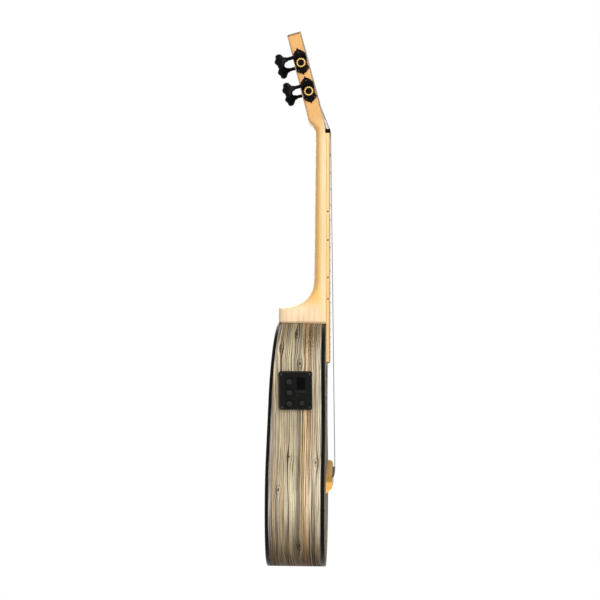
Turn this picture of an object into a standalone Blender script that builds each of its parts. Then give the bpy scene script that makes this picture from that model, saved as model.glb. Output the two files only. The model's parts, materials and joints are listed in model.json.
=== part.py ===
"""Tenor ukulele with a slotted head, open geared tuners and a preamp in its side.

Metres, +Z up along the neck. The origin is on the centre line, on the soundboard's plane,
at the nut's playing edge. The front faces -Y, and the bass side, with the preamp, is -X.
"""

import math

import bmesh
import bpy
from mathutils import Matrix, Vector
from mathutils.geometry import interpolate_bezier

# Clearances
FIT = 0.0003
SHAFT_PLAY = 0.0003

# Strings and frets
SCALE_LENGTH = 0.4318
FRET_COUNT = 19
FRET_WIDTH = 0.0022
FRET_HEIGHT = 0.0006
FRET_SHORT = 0.0006
STRING_RADII = (0.00031, 0.00041, 0.00036, 0.00029)
STRING_SPREAD_AT_NUT = 0.0284
STRING_SPREAD_AT_SADDLE = 0.0410
STRING_HEIGHT_AT_NUT = 0.0056
STRING_HEIGHT_BEHIND_NUT = 0.0052
STRING_HEIGHT_AT_SADDLE = 0.0109
WRAP_TURNS = 2.2
WRAP_PITCH = 0.00135
WRAP_POINTS = 24

# Body outline: distances below the body's top, and half widths there
BODY_TOP = -0.2404
BODY_LENGTH = 0.3089
UPPER_BOUT_AT = 0.055
UPPER_BOUT_HALF = 0.084
WAIST_AT = 0.116
WAIST_HALF = 0.070
LOWER_BOUT_AT = 0.224
LOWER_BOUT_HALF = 0.115
OUTLINE_STEPS = (8, 6, 9, 12)

# Body depth: the back rises from the neck to the tail and is arched across
BACK_AT_TAIL = 0.0702
BACK_RISE = 0.0115
BACK_RISE_FROM = -0.430
BACK_ARCH = 0.003

# Body woods
TOP_THICK = 0.0022
BACK_THICK = 0.0022
SIDE_THICK = 0.0018
BINDING_THICK = 0.0018
TOP_BINDING_DEEP = 0.0044
BACK_BINDING_DEEP = 0.0038
BACK_BINDING_ROUND = 0.0014
LINING_WIDE = 0.0045
LINING_FOOT = 0.0018
LINING_DEEP = 0.0065
LINING_END_GAP = 0.0016
BLOCK_THICK = 0.018
NECK_BLOCK_HALF = 0.028
TAIL_BLOCK_HALF = 0.024
SOUNDHOLE_AT = -0.3270
SOUNDHOLE_RADIUS = 0.0305
ROSETTE_INNER = 0.0335
ROSETTE_OUTER = 0.0385
ROSETTE_DEEP = 0.0010

# Braces
BRACE_WIDE = 0.0065
BRACE_TALL = 0.0080
BRACE_END_TALL = 0.0020
FAN_WIDE = 0.0050
FAN_TALL = 0.0060
FAN_TOP_GAP = 0.0078
FAN_END_GAP = 0.0160
FAN_SPREAD_TOP = 0.026
FAN_SPREAD_BOTTOM = 0.052
UPPER_BRACE_AT = -0.2850
LOWER_BRACE_AT = -0.3690
FAN_TOP = LOWER_BRACE_AT - BRACE_WIDE / 2 - FAN_TOP_GAP
FAN_BOTTOM = BODY_TOP - BODY_LENGTH + SIDE_THICK + BLOCK_THICK + FAN_END_GAP
BACK_BRACES_AT = (-0.300, -0.380, -0.470)
BRIDGE_PLATE_THICK = 0.0018
BRIDGE_PLATE_HALF = 0.060
BRIDGE_PLATE_MARGIN = 0.005

# Neck
NUT_WIDTH = 0.036
FRETBOARD_THICK = 0.0043
FRETBOARD_END = -0.2920
FRETBOARD_END_WIDTH = 0.0452
NECK_DEPTH_AT_NUT = 0.0138
NECK_DEPTH_AT_HEEL = 0.0158
HEEL_STARTS = -0.186
HEEL_BACK_AT = -0.2223
HEEL_DEPTH = 0.0610
HEEL_TAPER = 0.22
TENON_WIDE = 0.014
TENON_LONG = 0.012
TENON_FROM = 0.006
TENON_TO = 0.052

# Nut
NUT_THICK = 0.0048
NUT_SEAT = 0.0009
NUT_TOP = 0.0056
NUT_BACK_TOP = 0.0050
NUT_LAND = 0.0008

# Head, measured along it from the nut and backwards from its front face
HEAD_TILT = math.radians(15.0)
HEAD_START_Y = -0.0011
HEAD_LENGTH = 0.1285
HEAD_HALF = 0.0240
HEAD_THICK_LOW = 0.0202
HEAD_THICK_TOP = 0.0183
HEAD_FLARE_ENDS = 0.024
HEAD_CORNER = 0.006
VENEER_THICK = 0.0016
VENEER_START = 0.0016
SLOT_INNER = 0.0052
SLOT_OUTER = 0.0170
SLOT_START = 0.0080
SLOT_START_BEHIND = 0.0330
SLOT_END = 0.1060
SLOT_ROUND = 0.0035

# Tuners: places along the head, and sizes outwards from the centre plane
STATIONS = (0.0500, 0.0872)
TUNER_BEHIND = 0.0101
GEAR_TEETH = 14
GEAR_PITCH_RADIUS = 0.00602
GEAR_TIP_RADIUS = 0.00652
GEAR_ROOT_RADIUS = 0.00527
GEAR_WIDE = 0.0030
GEAR_HUB_RADIUS = 0.0042
TOOTH_TIP = 0.00065
TOOTH_ROOT = 0.00140
WORM_CENTRES = 0.0089
WORM_RADIUS = 0.00338
WORM_THREAD_ROOT = 0.00130
WORM_THREAD_TIP = 0.00060
WORM_STEPS = 10
WORM_TURNS_BACK = 1.2
WORM_TURNS_FRONT = 2.2
SHAFT_RADIUS = 0.0020
SLEEVE_RADIUS = 0.0023
PLATE_THICK = 0.0010
PLATE_HALF = 0.0083
PLATE_LOW_TIP = 0.0145
PLATE_HIGH_TIP = 0.0208
PLATE_NOTCH = 0.0020
PLATE_TIP_HALF = 0.0017
PLATE_LEAF_HALF = 0.0040
EAR_GAP = 0.0053
EAR_THICK = 0.0020
EAR_RADIUS = 0.0035
ROLLER_RADIUS = 0.0030
ROLLER_INNER_END = 0.0022
ROLLER_SQUARE = 0.0018
ROLLER_SIDES = 16
WASHER_RADIUS = 0.0041
WASHER_THICK = 0.0005
SCREW_RADIUS = 0.0027
SCREW_THICK = 0.0014
BUTTON_FROM_GEAR = 0.0261
BUTTON_HALF_LONG = 0.0095
BUTTON_HALF_WIDE = 0.0038
BUTTON_HALF_DEEP = 0.0062
BUTTON_LOBE = 0.0037
BUTTON_NOTCH_AT = 0.0054
BUTTON_NOTCH_BEHIND = 0.0041
BUTTON_COLLAR = 0.0031
BUTTON_COLLAR_LONG = 0.0006
BUTTON_BORE_DEEP = 0.0050

# Bridge, saddle and pickup
BRIDGE_TOP_EDGE = -0.4262
BRIDGE_BOTTOM_EDGE = -0.4508
BRIDGE_HALF = 0.0530
BRIDGE_TALL = 0.0079
BRIDGE_TAIL_SLOPE = 0.0057
BRIDGE_NOSE = 0.0045
SADDLE_FRONT = -0.4318
SADDLE_THICK = 0.0030
SADDLE_HALF = 0.0350
SADDLE_PEAK = 0.0008
SADDLE_BACK_DROP = 0.0022
SADDLE_BOTTOM = 0.0038
PICKUP_BOTTOM = 0.0023
PICKUP_THICK = 0.0012
TIE_CHANNEL_FROM = -0.4372
TIE_CHANNEL_TO = -0.4412
TIE_CHANNEL_BOTTOM = 0.0026
TIE_CHANNEL_HALF = 0.0290
TIE_HOLE_HEIGHT = 0.0042
TIE_HOLE_PLAY = 0.0004
TIE_LIFT = 0.0001
TIE_TURN = 0.0014
TIE_TAIL_GAP = 0.0009

# Preamp in the bass side
PANEL_WIDE = 0.0403
PANEL_TALL = 0.0492
PANEL_CENTRE_Y = 0.03545
PANEL_TOP = -0.2962
PANEL_THICK = 0.0016
PANEL_CORNER = 0.0030
HOUSING_WIDE = 0.0340
HOUSING_TALL = 0.0410
HOUSING_DEEP = 0.0140
KNOB_RADIUS = 0.00325
KNOB_TALL = 0.0042
KNOB_STUB_RADIUS = 0.0012
KNOB_STUB_LONG = 0.0030
KNOB_COLUMN = -0.0074
KNOB_ROWS = (0.0128, -0.0008, -0.0149)
BUTTON_COLUMN = 0.0074
BUTTON_TRAVEL = 0.0008
DISPLAY_CENTRE = (0.0065, 0.0094)
DISPLAY_SIZE = (0.0094, 0.0146)
DISPLAY_THICK = 0.0008

# Output jack in the tail block
JACK_Y = 0.0360
JACK_FLANGE_RADIUS = 0.0080
JACK_BARREL_RADIUS = 0.0058
JACK_BORE_RADIUS = 0.0033
JACK_LONG = 0.0290
JACK_BORE_DEEP = 0.0240

HEAD = Matrix.Translation((0.0, HEAD_START_Y, NUT_THICK)) @ Matrix.Rotation(-HEAD_TILT, 4, "X")
STRING_SIDES = (-1, -1, 1, 1)


def clear_scene():
    for obj in list(bpy.data.objects):
        bpy.data.objects.remove(obj, do_unlink=True)


def new_collection(name, hidden):
    collection = bpy.data.collections.new(name)
    bpy.context.scene.collection.children.link(collection)
    collection.hide_render = hidden
    return collection


clear_scene()
PARTS = new_collection("tenor_ukulele", False)
CUTTERS = new_collection("cutters", True)


def material(name, colour, roughness, metallic=0.0):
    made = bpy.data.materials.new(name)
    made.use_nodes = True
    shader = made.node_tree.nodes["Principled BSDF"]
    shader.inputs["Base Color"].default_value = (*colour, 1.0)
    shader.inputs["Roughness"].default_value = roughness
    shader.inputs["Metallic"].default_value = metallic
    return made


LAMINATE = material("striped_laminate", (0.42, 0.36, 0.28), 0.35)
NECK_WOOD = material("neck_wood", (0.78, 0.47, 0.16), 0.30)
BOARD_WOOD = material("fretboard_wood", (0.80, 0.55, 0.24), 0.45)
BRIDGE_WOOD = material("bridge_wood", (0.60, 0.28, 0.07), 0.45)
INNER_WOOD = material("inner_wood", (0.72, 0.55, 0.34), 0.70)
BINDING = material("black_binding", (0.012, 0.012, 0.012), 0.18)
BONE = material("black_nut", (0.010, 0.010, 0.010), 0.35)
NYLON = material("string_nylon", (0.75, 0.75, 0.74), 0.25)
BLACK_METAL = material("black_metal", (0.015, 0.015, 0.016), 0.35, 0.6)
BRASS = material("brass", (0.72, 0.50, 0.18), 0.28, 1.0)
PLASTIC = material("black_plastic", (0.014, 0.014, 0.015), 0.45)
GLASS = material("display_glass", (0.020, 0.022, 0.026), 0.08)
STEEL = material("jack_metal", (0.60, 0.60, 0.62), 0.30, 1.0)


def empty(name, matrix, parent=None):
    made = bpy.data.objects.new(name, None)
    made.empty_display_size = 0.005
    PARTS.objects.link(made)
    made.parent = parent
    made.matrix_local = matrix
    return made


def mesh_object(bm, name, surface=None, matrix=None, parent=None, smooth=math.radians(35)):
    """A closed bmesh as an object: one of the parts if it has a surface, and otherwise a cutter."""
    bmesh.ops.recalc_face_normals(bm, faces=bm.faces)
    mesh = bpy.data.meshes.new(name)
    bm.to_mesh(mesh)
    bm.free()
    mesh.shade_smooth()
    mesh.set_sharp_from_angle(angle=smooth)
    made = bpy.data.objects.new(name, mesh)
    if surface:
        mesh.materials.append(surface)
        PARTS.objects.link(made)
    else:
        CUTTERS.objects.link(made)
        made.hide_render = True
        made.display_type = "WIRE"
    made.parent = parent
    if matrix is not None:
        made.matrix_local = matrix
    return made


def shared_copy(source, name, matrix, parent):
    """Another object on the same mesh, with the same modifiers, turned and moved as a whole."""
    made = bpy.data.objects.new(name, source.data)
    PARTS.objects.link(made)
    made.parent = parent
    made.matrix_local = matrix
    return made


def apply_modifiers(obj):
    """The object's mesh as its modifiers leave it, so that its copies can share it."""
    graph = bpy.context.evaluated_depsgraph_get()
    mesh = bpy.data.meshes.new_from_object(obj.evaluated_get(graph))
    obj.modifiers.clear()
    obj.data = mesh
    mesh.shade_smooth()
    mesh.set_sharp_from_angle(angle=math.radians(35))


def boolean(obj, other, operation="DIFFERENCE", solver="EXACT"):
    modifier = obj.modifiers.new(other.name, "BOOLEAN")
    modifier.operation = operation
    modifier.object = other
    modifier.solver = solver


def loft(rings, closed_path=False):
    """A closed body through rings of equal counts, with its ends filled unless the path closes."""
    bm = bmesh.new()
    rows = [[bm.verts.new(point) for point in ring] for ring in rings]
    count = len(rows[0])
    pairs = list(zip(rows, rows[1:]))
    if closed_path:
        pairs.append((rows[-1], rows[0]))
    for first, second in pairs:
        for i in range(count):
            j = (i + 1) % count
            bm.faces.new((first[i], first[j], second[j], second[i]))
    if not closed_path:
        bm.faces.new(rows[0])
        bm.faces.new(rows[-1])
    return bm


def prism(points, low, high):
    """A flat outline, extruded from one place to the other; low and high turn a point into 3D."""
    return loft([[low(p) for p in points], [high(p) for p in points]])


def box(size, centre=(0.0, 0.0, 0.0)):
    bm = bmesh.new()
    bmesh.ops.create_cube(bm, size=1.0)
    bmesh.ops.scale(bm, vec=Vector(size), verts=bm.verts)
    bmesh.ops.translate(bm, vec=Vector(centre), verts=bm.verts)
    return bm


def cylinder(radius, low, high, sides=24):
    """A cylinder along Z."""
    bm = bmesh.new()
    bmesh.ops.create_cone(
        bm, cap_ends=True, segments=sides, radius1=radius, radius2=radius, depth=high - low
    )
    bmesh.ops.translate(bm, vec=(0.0, 0.0, (low + high) / 2), verts=bm.verts)
    return bm


def circle(radius, sides, turn=0.0):
    angles = [2 * math.pi * (i + turn) / sides for i in range(sides)]
    return [(radius * math.cos(a), radius * math.sin(a)) for a in angles]


def rounded_rectangle(wide, tall, corner, steps=4):
    points = []
    for quarter, (sx, sy) in enumerate(((1, 1), (-1, 1), (-1, -1), (1, -1))):
        for i in range(steps + 1):
            angle = math.pi / 2 * (quarter + i / steps)
            x = sx * (wide / 2 - corner) + corner * math.cos(angle)
            y = sy * (tall / 2 - corner) + corner * math.sin(angle)
            points.append((x, y))
    return points


def turned(name, profile, surface, matrix, parent=None, steps=24):
    """A profile of (radius, height) pairs, top to bottom, turned about its own Z with a Screw."""
    mesh = bpy.data.meshes.new(name)
    mesh.from_pydata([(r, 0.0, z) for r, z in profile], [(i, i + 1) for i in range(len(profile) - 1)], [])
    mesh.materials.append(surface)
    made = bpy.data.objects.new(name, mesh)
    PARTS.objects.link(made)
    made.parent = parent
    made.matrix_local = matrix
    screw = made.modifiers.new("turn", "SCREW")
    screw.steps = steps
    screw.render_steps = steps
    screw.use_merge_vertices = True
    screw.merge_threshold = 0.00001
    return made


def groove(points, radius, tall, steps=5):
    """A cutter along the points with a round bottom and upright walls that open to the front."""
    arc = [math.pi * i / steps for i in range(steps + 1)]
    section = [(radius * math.cos(a), radius * math.sin(a)) for a in arc]
    section += [(-radius, -tall), (radius, -tall)]
    return loft([[point + Vector((x, y, 0.0)) for x, y in section] for point in points])


def wire(name, points, radius, surface, resolution):
    """A string as a curve with a round bevel and filled caps."""
    curve = bpy.data.curves.new(name, "CURVE")
    curve.dimensions = "3D"
    curve.bevel_depth = radius
    curve.bevel_resolution = resolution
    curve.use_fill_caps = True
    spline = curve.splines.new("POLY")
    spline.points.add(len(points) - 1)
    for target, point in zip(spline.points, points):
        target.co = (*point, 1.0)
    curve.materials.append(surface)
    made = bpy.data.objects.new(name, curve)
    PARTS.objects.link(made)
    return made


def bezier(start, first, second, end, steps):
    return interpolate_bezier(Vector(start), Vector(first), Vector(second), Vector(end), steps + 1)


def body_outline_half():
    """The treble half of the body's outline, (x, z) from the top's centre down to the tail's."""
    upper = BODY_TOP - UPPER_BOUT_AT
    waist = BODY_TOP - WAIST_AT
    lower = BODY_TOP - LOWER_BOUT_AT
    tail = BODY_TOP - BODY_LENGTH
    round_off = 0.5523
    to_waist = (UPPER_BOUT_AT - WAIST_AT) * 0.45
    to_lower = (WAIST_AT - LOWER_BOUT_AT) * 0.42
    knots = (
        (
            (0.0, BODY_TOP),
            (UPPER_BOUT_HALF * round_off, BODY_TOP),
            (UPPER_BOUT_HALF, upper + UPPER_BOUT_AT * round_off),
            (UPPER_BOUT_HALF, upper),
        ),
        ((UPPER_BOUT_HALF, upper), (UPPER_BOUT_HALF, upper + to_waist), (WAIST_HALF, waist - to_waist), (WAIST_HALF, waist)),
        ((WAIST_HALF, waist), (WAIST_HALF, waist + to_lower), (LOWER_BOUT_HALF, lower - to_lower), (LOWER_BOUT_HALF, lower)),
        (
            (LOWER_BOUT_HALF, lower),
            (LOWER_BOUT_HALF, lower + (tail - lower) * round_off),
            (LOWER_BOUT_HALF * 0.58, tail),
            (0.0, tail),
        ),
    )
    points = []
    for knot, steps in zip(knots, OUTLINE_STEPS):
        stretch = bezier(*knot, steps)
        points += [Vector((p.x, p.y)) for p in stretch[(1 if points else 0):]]
    return points


OUTLINE_HALF = body_outline_half()


def inward_normals(points):
    normals = []
    for i in range(len(points)):
        along = points[min(i + 1, len(points) - 1)] - points[max(i - 1, 0)]
        normals.append(Vector((along.y, -along.x)).normalized())
    normals[0] = Vector((0.0, -1.0))
    normals[-1] = Vector((0.0, 1.0))
    return normals


OUTLINE_NORMALS = inward_normals(OUTLINE_HALF)


def clipped(top_x, tail_x):
    """The half outline and its normals, cut where it first and last passes these distances from the centre."""
    found = []
    last = len(OUTLINE_HALF) - 1
    upper = range(OUTLINE_STEPS[0])
    for i in range(last):
        a, b = OUTLINE_HALF[i], OUTLINE_HALF[i + 1]
        limit = top_x if i in upper else tail_x
        pair = ((a, OUTLINE_NORMALS[i]), (b, OUTLINE_NORMALS[i + 1]))
        if a.x >= limit:
            found.append(pair[0])
        if (a.x < limit) != (b.x < limit):
            share = (limit - a.x) / (b.x - a.x)
            found.append(tuple(p.lerp(q, share) for p, q in zip(*pair)))
    return found


def half_width_at(z):
    """The outline's half width at this height."""
    for a, b in zip(OUTLINE_HALF, OUTLINE_HALF[1:]):
        if a.y >= z >= b.y and a.y > b.y:
            return a.x + (b.x - a.x) * (a.y - z) / (a.y - b.y)
    return 0.0


def full_outline(offset):
    """The whole outline, moved inwards by the offset, down the treble side and up the bass side."""
    half = [p + n * offset for p, n in zip(OUTLINE_HALF, OUTLINE_NORMALS)]
    return half + [Vector((-p.x, p.y)) for p in reversed(half[1:-1])]


def back_surface(x, z):
    """How far behind the soundboard's front the back's outer face lies."""
    rise = max(0.0, (z - BACK_RISE_FROM) / (BODY_TOP - BACK_RISE_FROM))
    return BACK_AT_TAIL - BACK_RISE * rise**2 + BACK_ARCH * (1 - (x / LOWER_BOUT_HALF) ** 2)


def rim_piece(name, section, surface, side=None, top_x=0.0, tail_x=0.0):
    """A strip that follows the outline. Its section turns a place (x, z) into (inset, y) pairs."""
    if side is None:
        half = list(zip(OUTLINE_HALF, OUTLINE_NORMALS))
        mirrored = [(Vector((-p.x, p.y)), Vector((-n.x, n.y))) for p, n in reversed(half[1:-1])]
        path = half + mirrored
    else:
        path = [(Vector((side * p.x, p.y)), Vector((side * n.x, n.y))) for p, n in clipped(top_x, tail_x)]
    rings = []
    for point, normal in path:
        ring = []
        for inset, y in section(point.x, point.y):
            place = point + normal * inset
            ring.append((place.x, y, place.y))
        rings.append(ring)
    return mesh_object(loft(rings, closed_path=side is None), name, surface)


def make_sides():
    def section(x, z):
        front = TOP_BINDING_DEEP + FIT
        back = back_surface(x, z) - BACK_BINDING_DEEP - FIT
        return [(0.0, front), (0.0, back), (SIDE_THICK, back), (SIDE_THICK, front)]

    made = []
    for name, side in (("side_bass", -1), ("side_treble", 1)):
        made.append(rim_piece(name, section, LAMINATE, side, TENON_WIDE / 2 + FIT, FIT / 2))
    return made


def make_bindings():
    def front(x, z):
        edge = 0.0006
        return [
            (0.0, edge), (0.0, TOP_BINDING_DEEP), (BINDING_THICK, TOP_BINDING_DEEP), (BINDING_THICK, 0.0), (edge, 0.0),
        ]

    def back(x, z):
        rear = back_surface(x, z)
        turn = BACK_BINDING_ROUND
        arc = [(turn * (1 - math.cos(a)), rear - turn * (1 - math.sin(a))) for a in (0, math.pi / 4, math.pi / 2)]
        inner = back_surface(x * (1 - BINDING_THICK / LOWER_BOUT_HALF), z)
        return [(0.0, rear - BACK_BINDING_DEEP), *arc, (BINDING_THICK, inner), (BINDING_THICK, rear - BACK_BINDING_DEEP)]

    rim_piece("top_binding", front, BINDING)
    rim_piece("back_binding", back, BINDING)


def make_linings():
    outer = SIDE_THICK + FIT
    inner = outer + LINING_WIDE

    def front(x, z):
        start = TOP_THICK + FIT
        return [(outer, start), (inner, start), (inner, start + LINING_FOOT), (outer, start + LINING_DEEP)]

    def back(x, z):
        start = back_surface(x, z) - BACK_THICK - FIT
        return [(outer, start), (inner, start), (inner, start - LINING_FOOT), (outer, start - LINING_DEEP)]

    for name, side in (("bass", -1), ("treble", 1)):
        limits = (NECK_BLOCK_HALF + LINING_END_GAP, TAIL_BLOCK_HALF + LINING_END_GAP)
        rim_piece("top_lining_" + name, front, INNER_WOOD, side, *limits)
        rim_piece("back_lining_" + name, back, INNER_WOOD, side, *limits)


def make_soundboard():
    outline = full_outline(BINDING_THICK + FIT)
    bm = prism(outline, lambda p: (p.x, 0.0, p.y), lambda p: (p.x, TOP_THICK, p.y))
    board = mesh_object(bm, "soundboard", LAMINATE)
    facing = Matrix.Translation((0.0, 0.0, SOUNDHOLE_AT)) @ Matrix.Rotation(math.radians(90), 4, "X")
    hole = mesh_object(cylinder(SOUNDHOLE_RADIUS, -0.01, 0.01, 40), "soundhole_cutter", matrix=facing)
    boolean(board, hole)
    groove = ring_band(ROSETTE_INNER - FIT, ROSETTE_OUTER + FIT, ROSETTE_DEEP + FIT, 0.001)
    boolean(board, mesh_object(groove, "rosette_cutter", matrix=facing))
    inlay = ring_band(ROSETTE_INNER, ROSETTE_OUTER, ROSETTE_DEEP, 0.0)
    mesh_object(inlay, "rosette", BINDING, matrix=facing)


def ring_band(inner, outer, deep, proud):
    """A flat ring about Z, from its depth below the face to so much above it."""
    sides = 40
    section = ((outer, proud), (outer, -deep), (inner, -deep), (inner, proud))
    rings = []
    for i in range(sides):
        angle = 2 * math.pi * i / sides
        rings.append([(r * math.cos(angle), r * math.sin(angle), z) for r, z in section])
    return loft(rings, closed_path=True)


def make_back_plate():
    outline = full_outline(BINDING_THICK + FIT)
    bm = bmesh.new()
    bm.faces.new([bm.verts.new((p.x, 0.0, p.y)) for p in outline])
    for share in (-0.65, -0.39, -0.13, 0.13, 0.39, 0.65):
        x = share * LOWER_BOUT_HALF
        everything = bm.verts[:] + bm.edges[:] + bm.faces[:]
        bmesh.ops.bisect_plane(bm, geom=everything, plane_co=(x, 0, 0), plane_no=(1, 0, 0), dist=1e-5)
    for share in (0.07, 0.16, 0.26, 0.37, 0.50, 0.63, 0.81):
        z = BODY_TOP - share * BODY_LENGTH
        everything = bm.verts[:] + bm.edges[:] + bm.faces[:]
        bmesh.ops.bisect_plane(bm, geom=everything, plane_co=(0, 0, z), plane_no=(0, 0, 1), dist=1e-5)
    bmesh.ops.triangulate(bm, faces=bm.faces)
    for vert in bm.verts:
        vert.co.y = back_surface(vert.co.x, vert.co.z)
    faces = bmesh.ops.extrude_face_region(bm, geom=bm.faces[:])["geom"]
    inner = [item for item in faces if isinstance(item, bmesh.types.BMVert)]
    bmesh.ops.translate(bm, vec=(0.0, -BACK_THICK, 0.0), verts=inner)
    mesh_object(bm, "back_plate", LAMINATE)


def outline_stretch(offset, half, at_top):
    """Outline points within so far of the centre at one end of the body, from bass to treble."""
    points = [p + n * offset for p, n in zip(OUTLINE_HALF, OUTLINE_NORMALS)]
    if not at_top:
        points = list(reversed(points))
    kept = []
    for a, b in zip(points, points[1:]):
        kept.append(a)
        if b.x > half:
            kept.append(a.lerp(b, (half - a.x) / (b.x - a.x)))
            break
    return [Vector((-p.x, p.y)) for p in reversed(kept[1:])] + kept


def make_block(name, half, at_top):
    offset = SIDE_THICK + FIT
    arc = outline_stretch(offset, half, at_top)
    end = BODY_TOP - offset - BLOCK_THICK if at_top else BODY_TOP - BODY_LENGTH + offset + BLOCK_THICK
    plan = arc + [Vector((half, end)), Vector((-half, end))]
    rear = BACK_THICK + FIT
    bm = prism(
        plan,
        lambda p: (p.x, TOP_THICK + FIT, p.y),
        lambda p: (p.x, back_surface(p.x, p.y) - rear - FIT, p.y),
    )
    return mesh_object(bm, name, INNER_WOOD)


def brace(name, start, end, wide, tall, base, parts=4):
    """A bar from start to end, (x, z), lying on a plate whose inner face is base(x, z, height)."""
    start, end = Vector(start), Vector(end)
    along = (end - start).normalized()
    across = Vector((-along.y, along.x)) * wide / 2
    rings = []
    shares = [0.0, 0.16] + [0.16 + 0.68 * i / parts for i in range(1, parts)] + [0.84, 1.0]
    for share in shares:
        place = start.lerp(end, share)
        height = BRACE_END_TALL if share in (0.0, 1.0) else tall
        a, b = place - across, place + across
        rings.append([
            (a.x, base(a.x, a.y, 0.0), a.y),
            (b.x, base(b.x, b.y, 0.0), b.y),
            (b.x, base(b.x, b.y, height * 0.7), b.y),
            (place.x, base(place.x, place.y, height), place.y),
            (a.x, base(a.x, a.y, height * 0.7), a.y),
        ])
    return mesh_object(loft(rings), name, INNER_WOOD)


def make_braces():
    def on_top(x, z, height):
        return TOP_THICK + FIT + height

    def on_back(x, z, height):
        return back_surface(x, z) - BACK_THICK - 2 * FIT - height

    lining = SIDE_THICK + LINING_WIDE + 6 * FIT
    for name, z in (("upper_cross_brace", UPPER_BRACE_AT), ("lower_cross_brace", LOWER_BRACE_AT)):
        half = half_width_at(z) - lining - BRACE_WIDE / 4
        brace(name, (-half, z), (half, z), BRACE_WIDE, BRACE_TALL, on_top, 1)
    for i, z in enumerate(BACK_BRACES_AT):
        half = half_width_at(z) - lining - BRACE_WIDE / 2
        brace(f"back_brace_{i + 1}", (-half, z), (half, z), BRACE_WIDE, BRACE_TALL, on_back, 8)

    high = BRIDGE_TOP_EDGE + BRIDGE_PLATE_MARGIN
    low = BRIDGE_BOTTOM_EDGE - BRIDGE_PLATE_MARGIN
    size = Vector((2 * BRIDGE_PLATE_HALF, BRIDGE_PLATE_THICK, high - low))
    centre = (0.0, TOP_THICK + FIT + BRIDGE_PLATE_THICK / 2, (high + low) / 2)
    mesh_object(box(size, centre), "bridge_plate", INNER_WOOD)
    notch = mesh_object(box(size + Vector((1, 1, 1)) * 2 * FIT, centre), "bridge_plate_cutter")
    for name, side in (("bass", -1), ("centre", 0), ("treble", 1)):
        top = (side * FAN_SPREAD_TOP, FAN_TOP)
        bottom = (side * FAN_SPREAD_BOTTOM, FAN_BOTTOM)
        fan = brace("fan_brace_" + name, top, bottom, FAN_WIDE, FAN_TALL, on_top, 1)
        boolean(fan, notch)


def fretboard_half(z):
    share = z / FRETBOARD_END
    return (NUT_WIDTH + (FRETBOARD_END_WIDTH - NUT_WIDTH) * share) / 2


def head_half(along):
    """Half the head's width, so far along it from the nut."""
    start = NUT_WIDTH / 2 + 0.0001
    flare = bezier((0.0, start), (0.008, start + 0.0004), (0.014, HEAD_HALF), (HEAD_FLARE_ENDS, HEAD_HALF), 16)
    if along >= HEAD_FLARE_ENDS:
        return HEAD_HALF - corner_cut(along)
    for a, b in zip(flare, flare[1:]):
        if a.x <= along <= b.x:
            return a.y + (b.y - a.y) * (along - a.x) / (b.x - a.x)
    return start


def corner_cut(along):
    """How far the head's rounded top corners draw in its sides here."""
    into = max(0.0, along - (HEAD_LENGTH - HEAD_CORNER))
    return HEAD_CORNER - math.sqrt(max(0.0, HEAD_CORNER**2 - into**2))


def d_ring(front, back, half, roundness, taper=0.0, steps=16):
    """A section that is flat at the front and a superellipse behind; front and back are (y, z)."""
    ring = []
    for i in range(steps + 1):
        angle = math.pi * i / steps
        across = math.copysign(abs(math.cos(angle)) ** (2 / roundness), math.cos(angle))
        behind = math.sin(angle) ** (2 / roundness) if 0 < i < steps else 0.0
        place = Vector(front).lerp(Vector(back), behind)
        ring.append((half * (1 - taper * behind) * across, place.x, place.y))
    return ring


def head_place(along, behind):
    """A point on the head's middle plane, as (y, z)."""
    place = HEAD @ Vector((0.0, behind, along))
    return (place.y, place.z)


def neck_rings():
    rings = []
    inside = BODY_TOP - TENON_LONG
    rings.append(d_ring((0.0, inside), (HEEL_DEPTH, inside), fretboard_half(inside), 5.0, HEEL_TAPER))
    heel = bezier(
        (HEEL_DEPTH, HEEL_BACK_AT),
        (HEEL_DEPTH * 0.56, HEEL_BACK_AT),
        (NECK_DEPTH_AT_HEEL, HEEL_STARTS - 0.024),
        (NECK_DEPTH_AT_HEEL, HEEL_STARTS),
        9,
    )
    front_from = BODY_TOP + 0.006
    for i, back in enumerate(heel):
        share = i / (len(heel) - 1)
        front = front_from + (HEEL_STARTS - front_from) * share
        deepness = max(0.0, (back.x - NECK_DEPTH_AT_HEEL) / (HEEL_DEPTH - NECK_DEPTH_AT_HEEL))
        rings.append(d_ring((0.0, front), back, fretboard_half(front), 2.3 + 2.7 * deepness**0.7, HEEL_TAPER * deepness))
    for share in (0.75, 0.5, 0.25, 0.04):
        z = HEEL_STARTS * share
        depth = NECK_DEPTH_AT_NUT + (NECK_DEPTH_AT_HEEL - NECK_DEPTH_AT_NUT) * share
        rings.append(d_ring((0.0, z), (depth, z), fretboard_half(z), 2.3))
    seat = NUT_SEAT + FIT
    under_nut = ((0.0, -FIT - 0.0001, -0.0016), (seat, -FIT, -0.0008), (seat, NUT_THICK + FIT, 0.0020))
    for y, z, back_z in under_nut:
        rings.append(d_ring((y, z), (NECK_DEPTH_AT_NUT, back_z), NUT_WIDTH / 2, 2.4))
    core = VENEER_THICK + FIT
    volute = bezier((0.0005, 0.0146), (0.0062, 0.0152), (0.0115, 0.0172), (0.0157, HEAD_THICK_LOW), 7)
    for i, back in enumerate(volute[1:]):
        share = (i + 1) / 7
        roundness = 2.5 + 9.0 * share**2
        rings.append(d_ring(head_place(back.x, core), head_place(back.x, back.y), head_half(back.x), roundness))
    thinning = (HEAD_THICK_TOP - HEAD_THICK_LOW) / HEAD_LENGTH
    corner = HEAD_LENGTH - HEAD_CORNER
    tops = [corner + HEAD_CORNER * s for s in (0.0, 0.35, 0.62, 0.82, 0.94)]
    for along in [0.0205, HEAD_FLARE_ENDS] + tops:
        behind = HEAD_THICK_LOW + thinning * along
        rings.append(d_ring(head_place(along, core), head_place(along, behind), head_half(along), 12.0))
    return rings


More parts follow.
